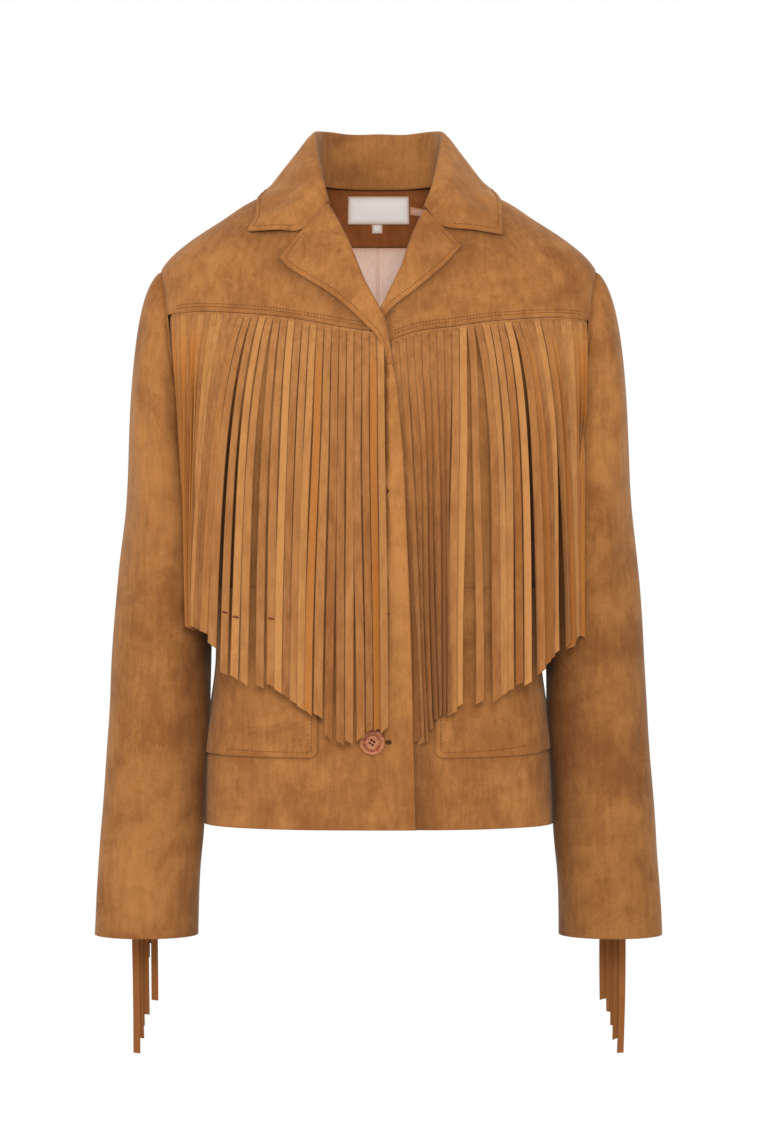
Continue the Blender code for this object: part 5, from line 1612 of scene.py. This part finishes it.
def remap(tree, socket, low, high, to_low=0.0, to_high=1.0, curve="SMOOTHSTEP", clamp=True):
    """A socket's range from low to high as another range."""
    node = tree_node(tree, "ShaderNodeMapRange", interpolation_type=curve, clamp=clamp)
    set_inputs(node, Value=socket, From_Min=low, From_Max=high, To_Min=to_low, To_Max=to_high)
    return node.outputs["Result"]


def blend_colour(tree, first, second, share, mode="MIX"):
    """Mix of two colours; each and the share are a socket or a value."""
    node = tree_node(tree, "ShaderNodeMix", data_type="RGBA", blend_type=mode)
    for i, value in ((0, share), (6, first), (7, second)):
        put(node.inputs[i], value)
    return node.outputs[2]


def attribute(tree, name):
    """Value of one of the marks on a mesh's points."""
    return tree_node(tree, "ShaderNodeAttribute", attribute_name=name).outputs["Fac"]


def place(tree, stretch):
    """Object coordinates, drawn out along each axis by the given shares."""
    where = tree_node(tree, "ShaderNodeTexCoord")
    scaled = tree_node(tree, "ShaderNodeVectorMath", operation="MULTIPLY")
    put(scaled.inputs[0], where.outputs["Object"])
    put(scaled.inputs[1], stretch)
    return scaled.outputs[0]


def new_group(name, colour_inputs, value_inputs):
    """Group that gives a colour, a roughness and a height."""
    group = bpy.data.node_groups.new(name, "ShaderNodeTree")
    for kind, inputs in (("NodeSocketColor", colour_inputs), ("NodeSocketFloat", value_inputs)):
        for label, value in inputs.items():
            socket = group.interface.new_socket(name=label, in_out="INPUT", socket_type=kind)
            socket.default_value = value
    for label, kind in (("Color", "Color"), ("Roughness", "Float"), ("Height", "Float")):
        group.interface.new_socket(name=label, in_out="OUTPUT", socket_type=f"NodeSocket{kind}")
    return group, group.nodes.new("NodeGroupInput"), group.nodes.new("NodeGroupOutput")


def nap_group():
    """Napped suede: clouds of rubbed and brushed nap between a dark and a light shade, a fine speckle,
    darker seams and edges, and raw edges in a third shade. On strands the darker edges are partly painted
    shadow between them. The shade mark paints shade towards the Under colour, and paints light where it
    is below zero."""
    group, given, result = new_group(
        "Napped suede",
        {
            "Light": (0.5, 0.25, 0.1, 1), "Dark": (0.3, 0.12, 0.04, 1), "Raw": (0.5, 0.2, 0.05, 1),
            # Under is the colour of painted shade.
            "Edge": (0.1, 0.035, 0.01, 1), "Under": (0.03, 0.011, 0.004, 1),
        },
        {"Clouds": 1.0, "Seam Shade": 0.3, "Tone": 0.0, "Raw Share": 0.0, "Streaks": 0.12},
    )
    even, brushed = place(group, (1, 1, 1)), place(group, (1, 1, 0.22))
    broad, middle = noise(group, even, 13, 4, 0.6, 0.9), noise(group, even, 48, 4, 0.6, 0.6)
    streak, small = noise(group, brushed, 190, 3, 0.6, 0.3), noise(group, even, 420, 3, 0.7)
    fine = noise(group, even, 1900, 2, 0.8)
    cloud = sums(group, ((broad, 0.50), (middle, 0.26), (streak, 0.12), (small, 0.12)))
    shade, given = attribute(group, "shade"), given.outputs
    # Painted light where the shade mark is below zero.
    whole = worked(group, "ADD", given["Tone"], remap(group, shade, -1, 0, 1.5, 0.5, "LINEAR"))
    for name, socket, low, high in (("Clouds", cloud, 0.36, 0.64), ("Streaks", streak, 0.3, 0.7)):
        varied = remap(group, socket, low, high, -0.5, 0.5)
        last = name == "Streaks"
        whole = worked(group, "MULTIPLY_ADD", varied, given[name], whole, use_clamp=last)
    colour = blend_colour(group, given["Dark"], given["Light"], whole)
    colour = blend_colour(group, colour, given["Raw"], given["Raw Share"])
    grey = tree_node(group, "ShaderNodeCombineColor")
    speck = remap(group, fine, 0.3, 0.7, 0.80, 1.16, "LINEAR")
    for i in range(3):
        put(grey.inputs[i], speck)
    colour = blend_colour(group, colour, grey.outputs[0], 1.0, "MULTIPLY")
    near = worked(group, "MULTIPLY", attribute(group, "edge"), given["Seam Shade"])
    colour = blend_colour(group, colour, given["Edge"], near)
    set_inputs(
        result,
        # Painted shade towards Under where the shade mark is above zero.
        Color=blend_colour(group, colour, given["Under"], sums(group, ((shade, 0.72),))),
        Roughness=remap(group, cloud, 0.3, 0.7, 0.97, 0.86, "LINEAR"),
        Height=sums(group, ((fine, 0.55), (small, 0.9), (streak, 0.5))),
    )
    return group


def plain_group(name, scale, stretch, spread):
    """Even colour with a soft mottle at one scale, and its height. Marked edges are a lighter brown, and
    the shade mark paints shade nearly black."""
    group, given, result = new_group(
        name, {"Color": (0.5, 0.5, 0.5, 1), "Shade": (0.3, 0.3, 0.3, 1)}, {}
    )
    cloud = noise(group, place(group, stretch), scale, 3.0, 0.6, 0.6)
    share = remap(group, cloud, 0.5 - spread, 0.5 + spread)
    colour = blend_colour(group, given.outputs["Shade"], given.outputs["Color"], share)
    for colour_there, mark in ((EDGE_BROWN, "edge"), (DEEP_BROWN, "shade")):
        colour = blend_colour(group, colour, colour_there, attribute(group, mark))
    rough = remap(group, cloud, 0.3, 0.7, 0.62, 0.45, "LINEAR")
    set_inputs(result, Color=colour, Roughness=rough, Height=cloud)
    return group


def new_material(name, group, inputs, bump, fixed, display, rough=None):
    """Principled material fed by a group. bump is (strength, distance in metres)
    and fixed are values set on the shader itself."""
    made = bpy.data.materials.new(name)
    made.use_nodes = True
    made.diffuse_color = (*display[:3], 1.0)
    tree = made.node_tree
    shader = tree.nodes["Principled BSDF"]
    source = tree_node(tree, "ShaderNodeGroup", node_tree=group)
    set_inputs(source, **inputs)
    relief = tree_node(tree, "ShaderNodeBump")
    set_inputs(relief, Strength=bump[0], Distance=bump[1], Height=source.outputs["Height"])
    set_inputs(
        shader, Base_Color=source.outputs["Color"], Normal=relief.outputs["Normal"],
        Roughness=source.outputs["Roughness"] if rough is None else rough, **fixed,
    )
    return made


def suede_material(title, look, clouds, tone):
    """Suede in a light and a dark shade. Strands take a shade each from their
    tone and show raw flesh side where they are turned."""
    shade = colours()
    light, dark = getattr(shade, f"{look}_light"), getattr(shade, f"{look}_dark")
    group = bpy.data.node_groups.get("Napped suede") or nap_group()
    inputs = {"Light": light, "Dark": dark, "Raw": shade.raw_edge, "Clouds": clouds}
    # Strand edges darken to this colour: partly the cut edge, partly painted shadow between strands.
    inputs["Edge"] = shade.cut_edge_and_shadow if tone else dark
    fixed = {
        "Sheen Weight": 0.12, "Sheen Roughness": 0.4, "Specular IOR Level": 0.10,
        "Sheen Tint": shade.sheen,
    }
    made = new_material(title, group, inputs, (0.55, 0.0005), fixed, light)
    if tone:
        tree = made.node_tree
        source = next(node for node in tree.nodes if node.type == "GROUP")
        tone_of = remap(tree, attribute(tree, "tone"), 0, 1, -TONE_REACH, TONE_REACH, "LINEAR", False)
        raw_of = sums(tree, ((attribute(tree, "raw"), 0.85),))
        set_inputs(source, Tone=tone_of, Raw_Share=raw_of, Seam_Shade=0.85, Streaks=0.3)
    return made


def finish(look):
    """The material of a kind of piece, made when it is first asked for."""
    title, *rest = SUEDES[look] if look in SUEDES else PLAIN_FINISHES[look]
    made = bpy.data.materials.get(title)
    if made:
        return made
    if look in SUEDES:
        return suede_material(title, look, *rest)
    light, dark, scale, stretch, spread, bump, rough, fixed = rest
    light, dark = getattr(colours(), light), getattr(colours(), dark)
    group = plain_group(title, scale, stretch, spread)
    return new_material(title, group, {"Color": light, "Shade": dark}, bump, fixed, light, rough)


def colour_value(name, hint, red, green, blue):
    """Property for a colour in linear light."""
    return FloatVectorProperty(
        name=name, description=hint, default=(red, green, blue, 1), size=4, subtype="COLOR", min=0, max=1
    )


def length_value(name, hint, value, low, high):
    """Property for a length in metres."""
    return FloatProperty(
        name=name, description=hint, default=value, min=low, max=high, subtype="DISTANCE", unit="LENGTH",
        precision=5,
    )


class JacketSizes(bpy.types.PropertyGroup):
    """Sizes of the cloth, the strands, the sewing and the buttons."""

    fold_depth: FloatProperty(
        name="Fold Depth", description="Depth of the soft folds, against the usual one", default=1.0,
        min=0, max=2,
    )
    suede_thickness: length_value("Suede", "Thickness of the panels", 0.0015, 0.001, 0.002)
    collar_thickness: length_value("Collar", "Thickness of the collar and lapels", 0.0022, 0.0015, 0.0026)
    pocket_thickness: length_value("Pockets", "Thickness of the patch pockets", 0.0018, 0.001, 0.002)
    lining_thickness: length_value("Lining", "Thickness of the lining and facing", 0.0009, 0.0003, 0.001)
    trim_thickness: length_value("Label", "Thickness of the label and ribbon", 0.0005, 0.0003, 0.0006)
    strand_thickness: length_value("Strands", "Thickness of the fringe strands", 0.0012, 0.0008, 0.0016)
    stitch_length: length_value("Stitch", "Length of one stitch", 0.0018, 0.001, 0.005)
    stitch_gap: length_value("Stitch Gap", "Gap between two stitches", 0.0011, 0.0003, 0.003)
    thread_radius: length_value("Thread", "Radius of the sewing thread", 0.00038, 0.0002, 0.0008)
    button_radius: length_value("Button", "Radius of the buttons", 0.0116, 0.009, 0.0118)


class JacketColours(bpy.types.PropertyGroup):
    """Colours of the suede, the lining, the buttons and the thread."""

    suede_light: colour_value("Suede Light", "Raised nap", 0.352, 0.148, 0.042)
    suede_dark: colour_value("Suede Dark", "Rubbed nap", 0.178, 0.0615, 0.0165)
    fringe_light: colour_value("Fringe Light", "Lightest strands", 0.375, 0.166, 0.051)
    fringe_dark: colour_value("Fringe Dark", "Darkest strands", 0.185, 0.066, 0.0185)
    raw_edge: colour_value("Raw Side", "Flesh side of turned strands", 0.33, 0.115, 0.022)
    # Darker strand edges: partly the cut edges' own colour, partly painted shadow lines between
    # overlapping strands.
    cut_edge_and_shadow: colour_value("Cut Edge", "Cut edges of the strands", 0.10, 0.034, 0.011)
    sheen: colour_value("Sheen", "Bloom on the nap", 1.0, 0.86, 0.66)
    facing_light: colour_value("Facing Light", "Raised nap of the facing", 0.30, 0.093, 0.027)
    facing_dark: colour_value("Facing Dark", "Rubbed nap of the facing", 0.19, 0.055, 0.014)
    lining: colour_value("Lining", "Satin lining", 0.80, 0.54, 0.42)
    lining_shade: colour_value("Lining Shade", "Satin lining in its folds", 0.70, 0.44, 0.33)
    label: colour_value("Label", "Woven label", 0.90, 0.86, 0.82)
    label_shade: colour_value("Label Shade", "Woven label between its threads", 0.80, 0.74, 0.69)
    ribbon: colour_value("Ribbon", "Ribbon of the hanging loop", 0.50, 0.25, 0.17)
    button_light: colour_value("Button Light", "Light veins of the buttons", 0.32, 0.108, 0.032)
    button_dark: colour_value("Button Dark", "Dark veins of the buttons", 0.235, 0.036, 0.011)
    thread: colour_value("Thread", "Sewing thread", 0.14, 0.05, 0.017)
    thread_shade: colour_value("Thread Shade", "Sewing thread between its turns", 0.07, 0.026, 0.009)
    # Colour of the painted shade inside the buttonholes.
    slit: colour_value("Slit", "Opening of the buttonholes", 0.045, 0.018, 0.008)
    ink: colour_value("Ink", "Pen marks", 0.10, 0.025, 0.014)
    ink_shade: colour_value("Ink Shade", "Pen marks where they are thin", 0.14, 0.04, 0.02)
    floor: colour_value("Floor", "Plain floor", 0.86, 0.86, 0.86)


def sizes():
    """The sizes that the jacket is made in."""
    return bpy.context.scene.jacket_sizes


def colours():
    """The colours that the jacket is made in."""
    return bpy.context.scene.jacket_colours


class JACKET_OT_body(bpy.types.Operator):
    """Add the two fronts, the yokes and the back"""

    bl_idname = "jacket.add_body"
    bl_label = "Fronts, Yokes and Back"

    def execute(self, context):
        wall = sizes().suede_thickness
        for side, word in WORD.items():
            sheet, normals = front_sheet(side)
            # Painted shade under the fringe, with painted light on the band.
            front = shell(
                f"front_{word}", sheet, normals, wall, seams={"right": (0.9, 2.4), "top": (0.4, 2.0)},
                shade=painted_shade_under_fringe(side, sheet),
            )
            sheet, normals = yoke_sheet(side)
            seams = {"right": (1.0, 2.6), "top": (0.7, 2.2), "bottom": (0.5, 1.6)}
            # Painted shadow from the lapel and the collar on the yoke.
            yoke = shell(
                f"yoke_{word}", sheet, normals, wall, seams=seams, shade=painted_shadow_beside_lapel(side, sheet)
            )
        back = shell("back", *back_sheet(), wall, seams={"left": (1.0, 2.6), "right": (1.0, 2.6)})
        return {"FINISHED"}


class JACKET_OT_sleeves(bpy.types.Operator):
    """Add the two sleeves"""

    bl_idname = "jacket.add_sleeves"
    bl_label = "Sleeves"

    def execute(self, context):
        for side, word in WORD.items():
            sheet, normals = sleeve_sheet(side)
            # Painted shade on the lower half and on the side by the body.
            sleeve = shell(
                f"sleeve_{word}", sheet, normals, sizes().suede_thickness, wrap=True,
                seams={"top": (1.0, 2.6)}, shade=painted_sleeve_shade(side, sheet),
            )
        return {"FINISHED"}


class JACKET_OT_collar(bpy.types.Operator):
    """Add the collar and the lapels with the stitching along their edges"""

    bl_idname = "jacket.add_collar"
    bl_label = "Collar and Lapels"

    def execute(self, context):
        wall = sizes().collar_thickness
        sheet, normals = collar_sheet()
        outer = sheet + normals * wall / MM / 2
        # Painted shade on the collar's back at the neck, painted light on its leaves.
        shade = 0.14 - 0.3 * smooth(*COLLAR_SHADE_TO_LIGHT_X, np.abs(sheet[..., 0]))
        collar = shell("collar", outer, normals, wall, shade=shade)
        seam = edge_stitches("collar_stitches", outer, normals, 37, (-1, 1))
        for side, word in WORD.items():
            sheet, normals = lapel_sheet(side)
            outer = sheet + normals * wall / MM / 2
            lapel = shell(f"lapel_{word}", outer, normals, wall)
            seam = edge_stitches(f"lapel_{word}_stitches", outer, normals, 40, (-1,))
        return {"FINISHED"}


class JACKET_OT_pockets(bpy.types.Operator):
    """Add the two patch pockets with their stitching"""

    bl_idname = "jacket.add_pockets"
    bl_label = "Pockets"

    def execute(self, context):
        for side, word in WORD.items():
            sheet, normals = pocket_sheet(side)
            # The pocket takes half the painted shade and light of the front under the fringe.
            pocket = shell(
                f"pocket_{word}", sheet, normals, sizes().pocket_thickness,
                shade=0.5 * painted_shade_under_fringe(side, sheet),
            )
            seam = pocket_stitches(side)
        return {"FINISHED"}


class JACKET_OT_fringes(bpy.types.Operator):
    """Add the fringes under the yokes and down the sleeves"""

    bl_idname = "jacket.add_fringes"
    bl_label = "Fringes"

    def execute(self, context):
        for side, word in WORD.items():
            chest_fringe(side)
            sleeve_fringe(side)
        pen_marks()
        return {"FINISHED"}


class JACKET_OT_inside(bpy.types.Operator):
    """Add the facing, the lining, the blank label and the ribbon at the back neck"""

    bl_idname = "jacket.add_inside"
    bl_label = "Facing, Lining and Label"

    def execute(self, context):
        wall, trim = sizes().lining_thickness, sizes().trim_thickness
        sheet, normals = inner_sheet(NECK_Z - 4, FACING_BOTTOM_Z, 34, 90)
        facing = shell("neck_facing", sheet, normals, wall, "facing", "facing_suede")
        sheet, normals = inner_sheet(FACING_BOTTOM_Z - 0.9, LINING_BOTTOM_Z, 120, 180, gather=1.7)
        sheet = lining_folds(sheet, normals)
        lining = shell("back_lining", sheet, normals, wall, "lining", "lining_satin")
        for name, x0, x1, top0, top1, high, under, cut, look, slot in TRIM[1]:
            fine = (0.0, 0.2, 0.5, 1.0)
            u = edged(max(14, int((x1 - x0) / 1.2)), x1 - x0, fine)[None]
            v = edged(max(10, int(high / 1.5)), high, fine)[:, None]
            x = x0 + (x1 - x0) * u + 0 * v
            z = top0 + (top1 - top0) * u - high * v
            bulge = 0.35 * np.sin(math.pi * v) * np.sin(math.pi * u)
            points, normal = back_at(-phi_front(x, z), z, -under - bulge)
            piece = shell(name, points, normal, trim, look, slot)
        return {"FINISHED"}


class JACKET_OT_buttons(bpy.types.Operator):
    """Add the buttons with their thread, and the buttonholes"""

    bl_idname = "jacket.add_buttons"
    bl_label = "Buttons and Buttonholes"

    def execute(self, context):
        for number in range(len(BUTTON_Z)):
            button(number)
            button_thread(number)
            buttonhole(number)
            slit(number)
        return {"FINISHED"}


class JACKET_OT_stitching(bpy.types.Operator):
    """Add the two rows of stitches above each yoke seam"""

    bl_idname = "jacket.add_stitching"
    bl_label = "Yoke Stitching"

    def execute(self, context):
        for side in (RIGHT, LEFT):
            yoke_stitches(side)
        return {"FINISHED"}


class JACKET_OT_stage(bpy.types.Operator):
    """Add the pale floor, the soft lights and the camera"""

    bl_idname = "jacket.add_stage"
    bl_label = "Floor, Lights and Camera"

    def execute(self, context):
        scene = context.scene
        r, turn = np.linspace(0.001, 1.1, 12)[:, None], np.arange(64) * 2 * math.pi / 64
        points = np.stack([r * np.cos(turn), r * np.sin(turn), FLOOR_Z + 0 * r * turn], axis=-1)
        mesh = bpy.data.meshes.new("floor")
        mesh.from_pydata(points.reshape(-1, 3).tolist(), [], grid_quads(12, 64, wrap=True).tolist())
        pale = bpy.data.materials.new("Pale floor")
        pale.use_nodes = True
        set_inputs(pale.node_tree.nodes["Principled BSDF"], Base_Color=colours().floor, Roughness=0.9)
        mesh.materials.append(pale)
        floor = bpy.data.objects.new("floor", mesh)
        scene.collection.objects.link(floor)
        for name, spot, aim, size, power in STAGE_LIGHTS[1]:
            lamp = bpy.data.lights.new(name, "AREA")
            lamp.shape, lamp.size, lamp.energy = "DISK", size, power
            light = bpy.data.objects.new(name, lamp)
            light.location = spot
            light.rotation_euler = (Vector(aim) - Vector(spot)).to_track_quat("-Z", "Y").to_euler()
            scene.collection.objects.link(light)
        lens = bpy.data.cameras.new("camera")
        lens.sensor_width, lens.lens = SENSOR, SENSOR * CAMERA_AWAY / CAMERA_TALL
        camera = bpy.data.objects.new("camera", lens)
        camera.location = (CAMERA_X, -CAMERA_AWAY, CAMERA_Z)
        camera.rotation_euler = (math.pi / 2, 0, 0)
        scene.collection.objects.link(camera)
        scene.camera = camera
        world = bpy.data.worlds.new("studio")
        world.use_nodes = True
        set_inputs(world.node_tree.nodes["Background"], Color=(1, 1, 1, 1), Strength=1.0)
        scene.world = world
        scene.view_settings.view_transform = "Standard"
        return {"FINISHED"}


class JACKET_PT_panel(bpy.types.Panel):
    """Buttons for the pieces, and the sizes and colours they are made in."""

    bl_idname = "JACKET_PT_panel"
    bl_label = "Fringed Suede Jacket"
    bl_space_type = "VIEW_3D"
    bl_region_type = "UI"
    bl_category = "Jacket"

    def draw(self, context):
        layout = self.layout
        for operator in OPERATORS:
            layout.operator(operator.bl_idname)
        for holder in (sizes(), colours()):
            box = layout.box()
            for name in type(holder).__annotations__:
                box.prop(holder, name)


OPERATORS = (
    JACKET_OT_body, JACKET_OT_sleeves, JACKET_OT_collar, JACKET_OT_pockets, JACKET_OT_inside,
    JACKET_OT_fringes, JACKET_OT_buttons, JACKET_OT_stitching, JACKET_OT_stage,
)
CLASSES = (JacketSizes, JacketColours, *OPERATORS, JACKET_PT_panel)


def register():
    """Add the panel, the operators behind its buttons, the sizes and the colours."""
    for kind in CLASSES:
        bpy.utils.register_class(kind)
    bpy.types.Scene.jacket_sizes = PointerProperty(type=JacketSizes)
    bpy.types.Scene.jacket_colours = PointerProperty(type=JacketColours)


def unregister():
    """Take them all away again."""
    del bpy.types.Scene.jacket_colours
    del bpy.types.Scene.jacket_sizes
    for kind in reversed(CLASSES):
        bpy.utils.unregister_class(kind)


def main():
    """Add every piece and the stage."""
    register()
    bpy.ops.jacket.add_body()
    bpy.ops.jacket.add_sleeves()
    bpy.ops.jacket.add_collar()
    bpy.ops.jacket.add_pockets()
    bpy.ops.jacket.add_inside()
    bpy.ops.jacket.add_fringes()
    bpy.ops.jacket.add_buttons()
    bpy.ops.jacket.add_stitching()
    bpy.ops.jacket.add_stage()


if __name__ == "__main__":
    main()
